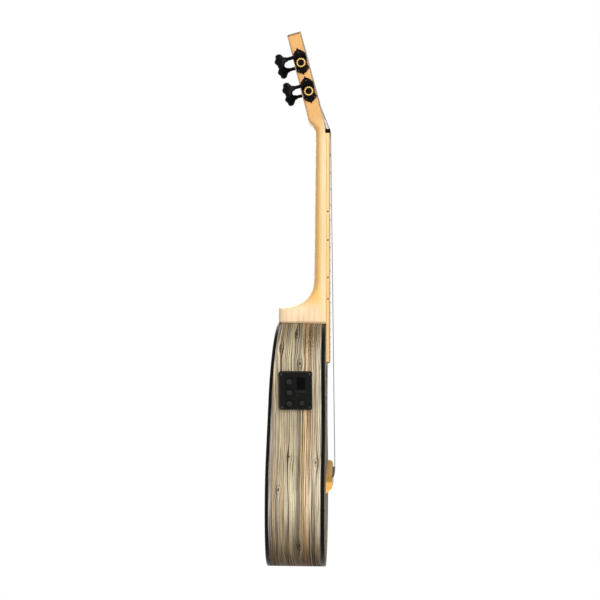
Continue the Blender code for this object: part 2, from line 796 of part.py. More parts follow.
def slot_cutter(side):
    """One string slot through the head, with its lower end ramped for the strings."""
    profile = (
        (SLOT_START - 0.0016, -0.002),
        (SLOT_START_BEHIND, HEAD_THICK_LOW + 0.002),
        (SLOT_END, HEAD_THICK_LOW + 0.002),
        (SLOT_END, -0.002),
    )
    inner, outer = side * SLOT_INNER, side * SLOT_OUTER
    bm = prism(profile, lambda p: (inner, p[1], p[0]), lambda p: (outer, p[1], p[0]))
    far = [e for e in bm.edges if all(abs(v.co.z - SLOT_END) < 1e-6 for v in e.verts)]
    upright = [e for e in far if abs(e.verts[0].co.y - e.verts[1].co.y) > 0.01]
    bmesh.ops.bevel(bm, geom=upright, offset=SLOT_ROUND, segments=4, profile=0.5, affect="EDGES", material=-1)
    return mesh_object(bm, "string_slot_cutter", matrix=HEAD)


def make_neck(slots):
    neck = mesh_object(loft(neck_rings()), "neck", NECK_WOOD, smooth=math.radians(40))
    outline = full_outline(-FIT)
    bm = prism(outline, lambda p: (p.x, -0.02, p.y), lambda p: (p.x, 0.12, p.y))
    boolean(neck, mesh_object(bm, "body_cutter"))
    long = TENON_LONG + 0.004
    size = (TENON_WIDE, TENON_TO - TENON_FROM, long)
    centre = (0.0, (TENON_TO + TENON_FROM) / 2, BODY_TOP + 0.004 - long / 2)
    boolean(neck, mesh_object(box(size, centre), "tenon"), "UNION")
    for slot in slots:
        boolean(neck, slot)
    bore = cylinder(ROLLER_RADIUS + SHAFT_PLAY, ROLLER_INNER_END - SHAFT_PLAY, HEAD_HALF + 0.004, 20)
    outwards = mesh_object(bore, "roller_bore_cutter")
    for side in (-1, 1):
        for station in STATIONS:
            turn = Matrix.Rotation(side * math.radians(90), 4, "Y")
            place = HEAD @ Matrix.Translation((0.0, TUNER_BEHIND, station)) @ turn
            cutter = bpy.data.objects.new("roller_bore_cutter", outwards.data)
            CUTTERS.objects.link(cutter)
            cutter.hide_render = True
            cutter.display_type = "WIRE"
            cutter.matrix_local = place
            boolean(neck, cutter)
    bpy.data.objects.remove(outwards)
    return neck


def make_mortise(block):
    size = (TENON_WIDE + 2 * FIT, TENON_TO - TENON_FROM + 2 * FIT, TENON_LONG + 0.004)
    centre = (0.0, (TENON_TO + TENON_FROM) / 2, BODY_TOP - FIT - size[2] / 2 + 0.004)
    boolean(block, mesh_object(box(size, centre), "mortise_cutter"))


def make_veneer(slots):
    corner = HEAD_LENGTH - HEAD_CORNER
    heights = [VENEER_START, 0.004, 0.008, 0.011, 0.014, 0.0175, 0.0205, HEAD_FLARE_ENDS]
    heights += [corner + HEAD_CORNER * s for s in (0.0, 0.35, 0.62, 0.82, 0.94)]
    right = [(head_half(along), along) for along in heights]
    outline = right + [(-x, along) for x, along in reversed(right)]
    bm = prism(outline, lambda p: (p[0], 0.0, p[1]), lambda p: (p[0], VENEER_THICK, p[1]))
    veneer = mesh_object(bm, "head_veneer", LAMINATE, matrix=HEAD)
    for slot in slots:
        boolean(veneer, slot)


def fret_at(number):
    return -SCALE_LENGTH * (1 - 2 ** (-number / 12))


def make_fretboard():
    front = -FIT - FRETBOARD_THICK
    start = -FIT
    plan = []
    for z in (start, FRETBOARD_END):
        plan += [(fretboard_half(z), z), (-fretboard_half(z), z)]
    plan = [plan[0], plan[1], plan[3], plan[2]]
    bm = prism(plan, lambda p: (p[0], -FIT, p[1]), lambda p: (p[0], front, p[1]))
    board = mesh_object(bm, "fretboard", BOARD_WOOD)
    frets = bmesh.new()
    sunk = 0.0008
    shape = ((-0.5, -sunk), (-0.5, 0.1), (-0.28, 0.8), (0.0, 1.0), (0.28, 0.8), (0.5, 0.1), (0.5, -sunk))
    for number in range(1, FRET_COUNT + 1):
        place = fret_at(number)
        half = fretboard_half(place) - FRET_SHORT
        ends = []
        for x in (-half, half):
            ring = []
            for across, tall in shape:
                rise = tall * FRET_HEIGHT if tall > 0 else tall
                ring.append(frets.verts.new((x, front - rise, place + across * FRET_WIDTH)))
            ends.append(ring)
        count = len(shape)
        for i in range(count):
            j = (i + 1) % count
            frets.faces.new((ends[0][i], ends[0][j], ends[1][j], ends[1][i]))
        frets.faces.new(ends[0])
        frets.faces.new(ends[1])
    boolean(board, mesh_object(frets, "frets"), "UNION")


def string_x(number, spread):
    return spread * (number / 3 - 0.5)


def roller_of(number):
    """The tuner that a string runs to: the outer strings take the stations nearest the nut."""
    outer = number in (0, 3)
    return STATIONS[0] if outer else STATIONS[1], 0.0130 if outer else 0.0110


def string_path(number):
    radius = STRING_RADII[number]
    side = STRING_SIDES[number]
    saddle_x = string_x(number, STRING_SPREAD_AT_SADDLE)
    nut_x = string_x(number, STRING_SPREAD_AT_NUT)
    hole = -TIE_HOLE_HEIGHT
    above = -BRIDGE_TALL - FIT - radius
    tail = BRIDGE_BOTTOM_EDGE
    over = above - TIE_LIFT
    tie = (
        (over, TIE_CHANNEL_TO - TIE_TAIL_GAP),
        (over, tail + BRIDGE_TAIL_SLOPE + TIE_LIFT),
        (above + 0.25 * TIE_TURN, tail + 3.2 * TIE_TURN),
        (above + TIE_TURN, tail + 2.2 * TIE_TURN),
        (hole - TIE_TURN, tail + 0.9 * TIE_TURN),
        (hole - TIE_TURN / 2, tail + 0.65 * TIE_TURN),
        (hole, tail + TIE_TURN),
        (hole, TIE_CHANNEL_TO + 2 * TIE_LIFT),
        (hole - 3 * TIE_LIFT, TIE_CHANNEL_TO + TIE_TAIL_GAP),
        (-STRING_HEIGHT_AT_SADDLE + 4 * TIE_LIFT, SADDLE_FRONT - SADDLE_PEAK - 6 * TIE_LIFT),
        (-STRING_HEIGHT_AT_SADDLE, SADDLE_FRONT - SADDLE_PEAK + 2 * TIE_LIFT),
    )
    points = [Vector((saddle_x, y, z)) for y, z in tie]
    points.append(Vector((nut_x, -STRING_HEIGHT_AT_NUT, NUT_LAND / 2)))
    points.append(Vector((nut_x, -STRING_HEIGHT_BEHIND_NUT, NUT_THICK - NUT_LAND / 2)))
    station, roller_x = roller_of(number)
    start = HEAD.inverted() @ points[-1]
    reach = ROLLER_RADIUS + FIT + radius
    to_roller = Vector((station - start.z, TUNER_BEHIND - start.y))
    distance = to_roller.length
    lean = math.atan2(to_roller.y, to_roller.x) - math.asin(reach / distance)
    first = lean - math.pi / 2
    count = round(WRAP_TURNS * WRAP_POINTS)
    wraps = []
    for i in range(count + 1):
        angle = first + 2 * math.pi * i / WRAP_POINTS
        x = side * (roller_x + WRAP_PITCH * i / WRAP_POINTS)
        behind = TUNER_BEHIND + reach * math.sin(angle)
        along = station + reach * math.cos(angle)
        wraps.append(HEAD @ Vector((x, behind, along)))
    wraps.append(wraps[-1] + (wraps[-1] - wraps[-2]).normalized() * (2 * radius + FIT))
    return points + wraps, wraps


def least_gap(points, radius):
    """The least distance between the surfaces of two turns of a winding."""
    least = 1.0
    apart = WRAP_POINTS // 2
    for i, a in enumerate(points):
        for b in points[i + apart:]:
            least = min(least, (a - b).length)
    return least - 2 * radius


def make_strings():
    for number, radius in enumerate(STRING_RADII):
        points, wraps = string_path(number)
        wire(f"string_{number + 1}", points, radius, NYLON, 1)
        print(f"string_{number + 1}: least gap between its turns {least_gap(wraps, radius) * 1000:.2f} mm")


def make_nut():
    profile = (
        (0.0, NUT_SEAT),
        (0.0, -NUT_TOP),
        (NUT_LAND, -NUT_TOP),
        (NUT_THICK, -NUT_BACK_TOP),
        (NUT_THICK, NUT_SEAT),
    )
    half = NUT_WIDTH / 2
    bm = prism(profile, lambda p: (-half, p[1], p[0]), lambda p: (half, p[1], p[0]))
    nut = mesh_object(bm, "nut", BONE)
    for number, radius in enumerate(STRING_RADII):
        path, wraps = string_path(number)
        before, front, rear = path[-len(wraps) - 3:-len(wraps)]
        start = front + (before - front).normalized() * NUT_THICK
        end = rear + (wraps[0] - rear).normalized() * NUT_THICK
        cutter = groove([start, front, rear, end], radius + 1.3 * FIT, NUT_TOP)
        boolean(nut, mesh_object(cutter, "string_groove_cutter"))


def make_bridge():
    nose = [
        (BRIDGE_TOP_EDGE - BRIDGE_NOSE * (1 - math.cos(a)), -BRIDGE_TALL + BRIDGE_NOSE * (1 - math.sin(a)))
        for a in (0, math.pi / 8, math.pi / 4, 3 * math.pi / 8, math.pi / 2)
    ]
    profile = [(BRIDGE_TOP_EDGE, -FIT), *nose]
    slot_back = SADDLE_FRONT - SADDLE_THICK - 2 * FIT
    profile += [
        (BRIDGE_BOTTOM_EDGE + BRIDGE_TAIL_SLOPE + 0.0008, -BRIDGE_TALL),
        (BRIDGE_BOTTOM_EDGE + BRIDGE_TAIL_SLOPE, -BRIDGE_TALL + 0.0006),
        (BRIDGE_BOTTOM_EDGE, -FIT - 0.0008),
        (BRIDGE_BOTTOM_EDGE, -FIT),
    ]
    bm = prism(profile, lambda p: (-BRIDGE_HALF, p[1], p[0]), lambda p: (BRIDGE_HALF, p[1], p[0]))
    bridge = mesh_object(bm, "bridge", BRIDGE_WOOD)

    wide = SADDLE_THICK + 2 * FIT
    deep = BRIDGE_TALL - (PICKUP_BOTTOM - FIT) + 0.002
    centre = (0.0, -(PICKUP_BOTTOM - FIT) - deep / 2, SADDLE_FRONT + FIT - wide / 2)
    slot = box((2 * (SADDLE_HALF + FIT), deep, wide), centre)
    boolean(bridge, mesh_object(slot, "saddle_slot_cutter"))

    ramp = (
        (slot_back - 0.0002, -BRIDGE_TALL - 0.001),
        (slot_back - 0.0002, -BRIDGE_TALL + 0.0001),
        (TIE_CHANNEL_FROM, -BRIDGE_TALL + 0.0020),
        (TIE_CHANNEL_FROM, -TIE_CHANNEL_BOTTOM),
        (TIE_CHANNEL_TO, -TIE_CHANNEL_BOTTOM),
        (TIE_CHANNEL_TO, -BRIDGE_TALL - 0.001),
    )
    half = TIE_CHANNEL_HALF
    bm = prism(ramp, lambda p: (-half, p[1], p[0]), lambda p: (half, p[1], p[0]))
    boolean(bridge, mesh_object(bm, "tie_channel_cutter"))
    for number, radius in enumerate(STRING_RADII):
        hole = cylinder(radius + TIE_HOLE_PLAY, BRIDGE_BOTTOM_EDGE - 0.002, TIE_CHANNEL_TO + 0.001, 10)
        place = Matrix.Translation((string_x(number, STRING_SPREAD_AT_SADDLE), -TIE_HOLE_HEIGHT, 0.0))
        boolean(bridge, mesh_object(hole, "tie_hole_cutter", matrix=place))


def make_saddle():
    lift = FIT + max(STRING_RADII)
    peak = -STRING_HEIGHT_AT_SADDLE + lift
    back = SADDLE_FRONT - SADDLE_THICK
    profile = (
        (SADDLE_FRONT, -SADDLE_BOTTOM),
        (SADDLE_FRONT, peak + 0.0005),
        (SADDLE_FRONT - SADDLE_PEAK * 0.5, peak + 0.0001),
        (SADDLE_FRONT - SADDLE_PEAK, peak),
        (back, peak + SADDLE_BACK_DROP),
        (back, -SADDLE_BOTTOM),
    )
    bm = prism(profile, lambda p: (-SADDLE_HALF, p[1], p[0]), lambda p: (SADDLE_HALF, p[1], p[0]))
    mesh_object(bm, "saddle", BONE)
    size = (2 * SADDLE_HALF, PICKUP_THICK, SADDLE_THICK)
    centre = (0.0, -PICKUP_BOTTOM - PICKUP_THICK / 2, (SADDLE_FRONT + back) / 2)
    mesh_object(box(size, centre), "saddle_pickup", BLACK_METAL)


def gear_mesh():
    """A wheel about X with a tooth pointing along +Z, a hub towards the plate and a square bore."""
    outline = []
    for tooth in range(GEAR_TEETH):
        middle = 2 * math.pi * tooth / GEAR_TEETH
        corners = (
            (GEAR_ROOT_RADIUS, -TOOTH_ROOT / 2),
            (GEAR_TIP_RADIUS, -TOOTH_TIP / 2),
            (GEAR_TIP_RADIUS, TOOTH_TIP / 2),
            (GEAR_ROOT_RADIUS, TOOTH_ROOT / 2),
        )
        for radius, across in corners:
            angle = middle + across / radius
            outline.append((radius * math.sin(angle), radius * math.cos(angle)))
    low, high = worm_out() - GEAR_WIDE / 2, worm_out() + GEAR_WIDE / 2
    return prism(outline, lambda p: (low, p[0], p[1]), lambda p: (high, p[0], p[1]))


def plate_out():
    """How far from the centre plane a tuner's plate starts."""
    return HEAD_HALF + FIT


def worm_out():
    """How far from the centre plane the worms and the middles of the gears lie."""
    return plate_out() + PLATE_THICK + FIT + WORM_RADIUS + 0.0001


def make_gear():
    gear = mesh_object(gear_mesh(), "gear_1", BRASS)
    hub_from = plate_out() + PLATE_THICK + FIT
    hub = cylinder(GEAR_HUB_RADIUS, hub_from, worm_out(), 16)
    along_x = Matrix.Rotation(math.radians(90), 4, "Y")
    boolean(gear, mesh_object(hub, "gear_hub", matrix=along_x), "UNION")
    side = 2 * (ROLLER_SQUARE + FIT)
    bore = box((0.02, side, side), (worm_out(), 0.0, 0.0))
    boolean(gear, mesh_object(bore, "gear_bore_cutter"))
    apply_modifiers(gear)
    return gear


def square_ring(half, sides):
    """A square outline with as many points as the round sections that it meets."""
    ring = []
    for x, y in circle(1.0, sides, 0.5):
        stretch = half / max(abs(x), abs(y))
        ring.append((x * stretch, y * stretch))
    return ring


def make_roller():
    """The string roller: a round bar with a square end for the gear, held by the screw head beyond it."""
    shoulder = HEAD_HALF
    screw_from = worm_out() + GEAR_WIDE / 2 + FIT
    screw_to = screw_from + SCREW_THICK
    round_bar = circle(ROLLER_RADIUS, ROLLER_SIDES, 0.5)
    square = square_ring(ROLLER_SQUARE, ROLLER_SIDES)
    washer = circle(WASHER_RADIUS, ROLLER_SIDES, 0.5)
    head = circle(SCREW_RADIUS, ROLLER_SIDES, 0.5)
    dome = circle(SCREW_RADIUS * 0.75, ROLLER_SIDES, 0.5)
    stages = (
        (ROLLER_INNER_END, round_bar), (shoulder, round_bar), (shoulder, square), (screw_from, square),
        (screw_from, washer), (screw_from + WASHER_THICK, washer), (screw_from + WASHER_THICK, head),
        (screw_to - SCREW_THICK / 3, head), (screw_to, dome),
    )
    rings = [[(x, y, z) for y, z in outline] for x, outline in stages]
    return mesh_object(loft(rings), "string_roller_1", BLACK_METAL)


def plate_outline():
    """The plate's outline as (along, behind): a leaf with notched edges and a point at each end."""
    wide, leaf, tip, notch = PLATE_HALF, PLATE_LEAF_HALF, PLATE_TIP_HALF, PLATE_NOTCH
    low, high = -PLATE_LOW_TIP, PLATE_HIGH_TIP
    half = (
        (low, 0.0),
        (low + 1.1 * notch, 1.1 * tip),
        (low + 1.3 * notch, leaf),
        (low + 2.1 * notch, leaf + 0.6 * notch),
        (low + 2.6 * notch, wide - 0.5 * notch),
        (low + 3.6 * notch, wide),
        (low + 5.6 * notch, wide - 0.4 * notch),
        (high - 6.6 * notch, wide),
        (high - 4.4 * notch, wide),
        (high - 3.9 * notch, leaf + 1.2 * notch),
        (high - 3.0 * notch, leaf + 1.4 * notch),
        (high - 2.7 * notch, leaf + 0.2 * notch),
        (high - 1.8 * notch, leaf),
        (high - 1.6 * notch, 1.3 * tip),
        (high - 1.1 * notch, 0.6 * tip),
        (high, 0.0),
    )
    return list(half) + [(along, -behind) for along, behind in reversed(half[1:-1])]


def make_plate():
    """The tuner's plate, with two ears that carry the worm's shaft."""
    low, high = plate_out(), plate_out() + PLATE_THICK
    bm = prism(plate_outline(), lambda p: (low, p[1], p[0]), lambda p: (high, p[1], p[0]))
    plate = mesh_object(bm, "tuner_plate_1", BLACK_METAL)
    arc = [(worm_out() + EAR_RADIUS * math.cos(a), WORM_CENTRES + EAR_RADIUS * math.sin(a))
           for a in [math.pi * (i / 8 - 0.5) for i in range(9)]]
    foot = high - PLATE_THICK / 2
    profile = [(foot, WORM_CENTRES - EAR_RADIUS), *arc, (foot, WORM_CENTRES + EAR_RADIUS)]
    for side in (-1, 1):
        near, far = side * EAR_GAP, side * (EAR_GAP + EAR_THICK)
        ear = prism(profile, lambda p: (p[0], near, p[1]), lambda p: (p[0], far, p[1]))
        boolean(plate, mesh_object(ear, "ear"), "UNION")
    reach = EAR_GAP + 2 * EAR_THICK
    bore = mesh_object(
        cylinder(SHAFT_RADIUS + SHAFT_PLAY, -reach, reach, 16),
        "worm_bore_cutter",
        matrix=Matrix.Translation((worm_out(), 0.0, WORM_CENTRES)) @ Matrix.Rotation(math.radians(90), 4, "X"),
    )
    boolean(plate, bore)
    hole = cylinder(ROLLER_SQUARE * math.sqrt(2) + SHAFT_PLAY, 0.0, worm_out(), 16)
    boolean(plate, mesh_object(hole, "roller_hole_cutter", matrix=Matrix.Rotation(math.radians(90), 4, "Y")))
    apply_modifiers(plate)
    return plate


def make_worm():
    """The worm and its shaft about Z, +Z to the button, with a gap of the thread facing +X at z = 0."""
    front_end = -EAR_GAP - EAR_THICK - 0.0008
    back_end = button_front() + BUTTON_BORE_DEEP - FIT
    worm = mesh_object(cylinder(SHAFT_RADIUS, front_end, back_end, 12), "worm_shaft_1", BLACK_METAL)
    lead = 2 * math.pi * GEAR_PITCH_RADIUS / GEAR_TEETH
    section = (
        (SHAFT_RADIUS - 0.0004, -WORM_THREAD_ROOT / 2 - 0.0001),
        (WORM_RADIUS, -WORM_THREAD_TIP / 2),
        (WORM_RADIUS, WORM_THREAD_TIP / 2),
        (SHAFT_RADIUS - 0.0004, WORM_THREAD_ROOT / 2 + 0.0001),
    )
    rings = []
    turns = WORM_TURNS_FRONT + WORM_TURNS_BACK
    count = round(turns * WORM_STEPS)
    for i in range(count + 1):
        turn = turns * i / count - WORM_TURNS_FRONT
        angle = 2 * math.pi * turn
        middle = lead * (turn + 0.5)
        rings.append([(r * math.cos(angle), r * math.sin(angle), middle + z) for r, z in section])
    boolean(worm, mesh_object(loft(rings), "worm_thread"), "UNION")
    sleeve = cylinder(SLEEVE_RADIUS, EAR_GAP + EAR_THICK + FIT, button_front() - BUTTON_COLLAR_LONG - FIT, 12)
    boolean(worm, mesh_object(sleeve, "shaft_sleeve"), "UNION")
    apply_modifiers(worm)
    return worm


def button_front():
    """How far behind the worm's middle the button's collar starts."""
    return BUTTON_FROM_GEAR - BUTTON_HALF_DEEP


def button_outline(steps=5):
    """The button's outline as (along, behind its middle): a lobe at each end, one behind, and a collar."""
    long, deep, lobe = BUTTON_HALF_LONG, BUTTON_HALF_DEEP, BUTTON_LOBE
    back = 1.3 * lobe
    half = [(BUTTON_COLLAR, -deep), (BUTTON_COLLAR + FIT, -0.75 * deep)]
    for i in range(steps + 1):
        angle = math.radians(-80 + 140 * i / steps)
        half.append((long - lobe + lobe * math.cos(angle), lobe * (0.2 + math.sin(angle))))
    half.append((BUTTON_NOTCH_AT, BUTTON_NOTCH_BEHIND))
    for angle in (math.radians(45), math.radians(65)):
        half.append((back * math.cos(angle), deep - back + back * math.sin(angle)))
    half.append((0.0, deep))
    return half + [(-along, behind) for along, behind in reversed(half[:-1])]


def make_button():
    """A thumb button on the shaft: three lobes, crowned on both faces, on a collar with a blind bore."""
    outline = button_outline()
    rings = []
    crown = ((-1.0, 0.50), (-0.72, 0.86), (0.0, 1.0), (0.72, 0.86), (1.0, 0.50))
    for across, share in crown:
        ring = []
        for along, behind in outline:
            ring.append((along * share, across * BUTTON_HALF_WIDE, BUTTON_FROM_GEAR + behind * share))
        rings.append(ring)
    button = mesh_object(loft(rings), "tuner_button_1", PLASTIC)
    collar = cylinder(BUTTON_COLLAR, button_front() - BUTTON_COLLAR_LONG, BUTTON_FROM_GEAR, 16)
    boolean(button, mesh_object(collar, "button_collar"), "UNION")
    bore = cylinder(SHAFT_RADIUS + FIT, 0.0, button_front() + BUTTON_BORE_DEEP, 16)
    boolean(button, mesh_object(bore, "button_bore_cutter"))
    apply_modifiers(button)
    return button


def make_tuners():
    """Four tuners, two on each side of the head, numbered with their strings."""
    head = empty("head_frame", HEAD)
    to_worm = Matrix(((0, -1, 0, 0), (0, 0, 1, 0), (-1, 0, 0, 0), (0, 0, 0, 1)))
    plate, worm, button = make_plate(), make_worm(), make_button()
    gear, roller = make_gear(), make_roller()
    for number, side in enumerate(STRING_SIDES):
        tag = f"_{number + 1}"
        station, _ = roller_of(number)
        outwards = Matrix.Identity(4) if side > 0 else Matrix.Rotation(math.pi, 4, "Z")
        seat = Matrix.Translation((0.0, TUNER_BEHIND, station)) @ outwards
        worm_seat = Matrix.Translation((side * worm_out(), TUNER_BEHIND, station + WORM_CENTRES)) @ to_worm
        roller_axis = empty("roller_axis" + tag, seat, head)
        worm_axis = empty("worm_axis" + tag, worm_seat, head)
        places = (
            (plate, "tuner_plate", roller_axis),
            (gear, "gear", roller_axis),
            (roller, "string_roller", roller_axis),
            (worm, "worm_shaft", worm_axis),
            (button, "tuner_button", worm_axis),
        )
        for source, name, axis in places:
            if number == 0:
                source.parent = axis
                source.matrix_local = Matrix.Identity(4)
            else:
                shared_copy(source, name + tag, Matrix.Identity(4), axis)


def panel_frame():
    """The preamp panel's frame: X towards the front, Y up the side, Z out of it, on the side's surface."""
    top = Vector((-half_width_at(PANEL_TOP), PANEL_TOP))
    bottom_z = PANEL_TOP - PANEL_TALL
    bottom = Vector((-half_width_at(bottom_z), bottom_z))
    down = (bottom - top).normalized()
    out = Vector((down.y, -down.x))
    between = [Vector((-p.x, p.y)) for p in OUTLINE_HALF if bottom_z <= p.y <= PANEL_TOP]
    bulge = max([0.0] + [(p - top).dot(out) for p in between])
    middle = (top + bottom) / 2 + out * (bulge + FIT)
    x_axis, y_axis, z_axis = (0.0, -1.0, 0.0), (-down.x, 0.0, -down.y), (out.x, 0.0, out.y)
    frame = Matrix((x_axis, y_axis, z_axis)).transposed().to_4x4()
    frame.translation = (middle.x, PANEL_CENTRE_Y, middle.y)
    return frame


def make_preamp(side_bass):
    frame = empty("preamp_frame", panel_frame())
    bpy.context.view_layer.update()
    edge = 0.0005
    outer = rounded_rectangle(PANEL_WIDE, PANEL_TALL, PANEL_CORNER)
    inner = rounded_rectangle(PANEL_WIDE - 2 * edge, PANEL_TALL - 2 * edge, PANEL_CORNER - edge)
    rings = [
        [(x, y, 0.0) for x, y in outer],
        [(x, y, PANEL_THICK - edge) for x, y in outer],
        [(x, y, PANEL_THICK) for x, y in inner],
    ]
    panel = mesh_object(loft(rings), "preamp_panel", PLASTIC, parent=frame)
    housing = box((HOUSING_WIDE, HOUSING_TALL, HOUSING_DEEP), (0.0, 0.0, PANEL_THICK / 2 - HOUSING_DEEP / 2))
    boolean(panel, mesh_object(housing, "housing", parent=frame), "UNION")
    opening = box((HOUSING_WIDE + 2 * FIT, HOUSING_TALL + 2 * FIT, 2 * HOUSING_DEEP))
    boolean(side_bass, mesh_object(opening, "preamp_opening_cutter", parent=frame))

    pocket = box((DISPLAY_SIZE[0] + 2 * FIT, DISPLAY_SIZE[1] + 2 * FIT, 2 * (DISPLAY_THICK + FIT)), (*DISPLAY_CENTRE, PANEL_THICK))
    boolean(panel, mesh_object(pocket, "display_pocket_cutter", parent=frame))
    window = box((*DISPLAY_SIZE, DISPLAY_THICK), (*DISPLAY_CENTRE, PANEL_THICK - DISPLAY_THICK / 2))
    mesh_object(window, "tuner_display", GLASS, parent=frame)

    hole = cylinder(KNOB_STUB_RADIUS + SHAFT_PLAY, PANEL_THICK - KNOB_STUB_LONG - FIT - BUTTON_TRAVEL, 0.01, 12)
    hole_source = mesh_object(hole, "control_hole_cutter", parent=frame)
    controls = [("volume_knob", KNOB_COLUMN, KNOB_ROWS[0]), ("bass_knob", KNOB_COLUMN, KNOB_ROWS[1])]
    controls += [("treble_knob", KNOB_COLUMN, KNOB_ROWS[2]), ("tuner_switch", BUTTON_COLUMN, KNOB_ROWS[2])]
    for name, x, y in controls:
        cutter = bpy.data.objects.new("control_hole_cutter", hole_source.data)
        CUTTERS.objects.link(cutter)
        cutter.hide_render = True
        cutter.display_type = "WIRE"
        cutter.parent = frame
        cutter.matrix_local = Matrix.Translation((x, y, 0.0))
        boolean(panel, cutter)
        lift = PANEL_THICK + FIT + (BUTTON_TRAVEL if name == "tuner_switch" else 0.0)
        tall = KNOB_TALL if name != "tuner_switch" else KNOB_TALL * 0.45
        profile = (
            (0.0, tall), (KNOB_RADIUS * 0.80, tall), (KNOB_RADIUS * 0.92, tall - 0.0004),
            (KNOB_RADIUS, 0.0006), (KNOB_RADIUS, 0.0), (KNOB_STUB_RADIUS, 0.0),
            (KNOB_STUB_RADIUS, -KNOB_STUB_LONG), (0.0, -KNOB_STUB_LONG),
        )
        turned(name, profile, PLASTIC, Matrix.Translation((x, y, lift)), frame, 16)
    bpy.data.objects.remove(hole_source)


def make_output_jack(sides, tail_block):
    """A flush jack through the tail: flange in the sides, barrel in the block, bore open downwards."""
    place = Matrix.Translation((0.0, JACK_Y, BODY_TOP - BODY_LENGTH))
    outer = mesh_object(cylinder(JACK_FLANGE_RADIUS + FIT, -0.004, SIDE_THICK + 0.004, 32), "jack_seat_cutter", matrix=place)
    for side in sides:
        boolean(side, outer)
    barrel = cylinder(JACK_BARREL_RADIUS + FIT, -0.004, 2 * JACK_LONG, 24)
    boolean(tail_block, mesh_object(barrel, "jack_barrel_cutter", matrix=place))
    profile = (
        (0.0, JACK_LONG), (JACK_BARREL_RADIUS - 0.0005, JACK_LONG), (JACK_BARREL_RADIUS, JACK_LONG - 0.0005),
        (JACK_BARREL_RADIUS, SIDE_THICK), (JACK_FLANGE_RADIUS, SIDE_THICK), (JACK_FLANGE_RADIUS, 0.0),
        (JACK_BORE_RADIUS, 0.0), (JACK_BORE_RADIUS, JACK_BORE_DEEP), (0.0, JACK_BORE_DEEP),
    )
    turned("output_jack", profile, STEEL, place, None, 24)


def build():
    sides = make_sides()
    make_bindings()
    make_linings()
    make_soundboard()
    make_back_plate()
    neck_block = make_block("neck_block", NECK_BLOCK_HALF, True)
    make_mortise(neck_block)
    tail_block = make_block("tail_block", TAIL_BLOCK_HALF, False)
    make_braces()
    slots = [slot_cutter(-1), slot_cutter(1)]
    make_neck(slots)
    make_veneer(slots)
    make_fretboard()
    make_nut()
    make_bridge()
    make_saddle()
    make_strings()
    make_tuners()
    make_preamp(sides[0])
    make_output_jack(sides, tail_block)


build()
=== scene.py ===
"""Looks of the tenor ukulele: its woods, lacquer, brass and black fittings, light and camera."""

import math

import bmesh
import bpy
from mathutils import Matrix, Vector
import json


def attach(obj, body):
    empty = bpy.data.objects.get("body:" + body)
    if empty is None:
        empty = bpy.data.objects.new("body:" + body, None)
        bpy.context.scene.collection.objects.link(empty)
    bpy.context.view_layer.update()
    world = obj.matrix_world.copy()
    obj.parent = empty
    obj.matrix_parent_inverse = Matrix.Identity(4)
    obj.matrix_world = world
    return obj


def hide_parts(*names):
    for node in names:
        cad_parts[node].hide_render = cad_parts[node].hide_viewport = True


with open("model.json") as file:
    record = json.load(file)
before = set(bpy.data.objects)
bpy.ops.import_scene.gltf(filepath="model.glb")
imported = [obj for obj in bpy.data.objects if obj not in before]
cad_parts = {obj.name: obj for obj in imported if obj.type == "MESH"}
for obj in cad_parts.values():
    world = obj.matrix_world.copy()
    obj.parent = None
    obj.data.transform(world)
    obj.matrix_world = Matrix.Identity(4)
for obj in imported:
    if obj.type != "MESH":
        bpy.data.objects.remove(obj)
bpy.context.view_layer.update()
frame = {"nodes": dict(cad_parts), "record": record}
NODES = frame["nodes"]
BEHAVIOUR = frame["record"]["behaviour"]
BODY_OF = {node: body for body, members in BEHAVIOUR["bodies"].items() for node in members}
JOINTS = {joint["name"]: joint for joint in BEHAVIOUR["joints"]}

# Sizes that the frame doesn't state, in metres
SCALE_LENGTH = 0.4318
FRET_COUNT = 19
FRET_WIDE = 0.0024
FRET_CROWN = 0.0004
FRET_SHORTER = 0.0012
FRETBOARD_FRONT = -0.0046
FRETBOARD_END = -0.2920
FRETBOARD_END_HALF = 0.0226
NUT_HALF = 0.0180
DOTTED_FRETS = (5, 7, 10)
TWIN_DOTTED_FRET = 12
TWIN_DOT_AT = 0.006
DOT_LOWER = 0.0012
DOT_THICK = 0.0003
DOT_SUNK = 0.0002
SIDE_DOT_Y = -0.00245
SIDE_DOT_RADIUS = 0.0010
FRONT_DOT_RADIUS = 0.0026
HEAD_TILT = math.radians(15.0)
HEAD_LENGTH = 0.1285
HEAD = Matrix.Translation((0.0, -0.0011, 0.0048)) @ Matrix.Rotation(-HEAD_TILT, 4, "X")

# The tuners: a screw's place is (behind the roller, along the head from it)
TUNERS = (1, 2, 3, 4)
PLATE_FACE = 0.0253
PLATE_SCREWS = ((0.0, 0.0150), (-0.0052, -0.0078), (0.0052, -0.0078))
PLATE_SCREW_RADIUS = 0.0010
PLATE_SCREW_TALL = 0.0005
BUTTON_DEEPER = 1.25
SLEEVE_FROM = 0.0078
SLEEVE_LONG = 0.0095
SLEEVE_RADIUS = 0.0022
WASHER_RADIUS = 0.0037
WASHER_THICK = 0.0003
GEAR_SLOT = (0.0036, 0.0006, 0.0003)
GEAR_SLOT_SUNK = 0.0001

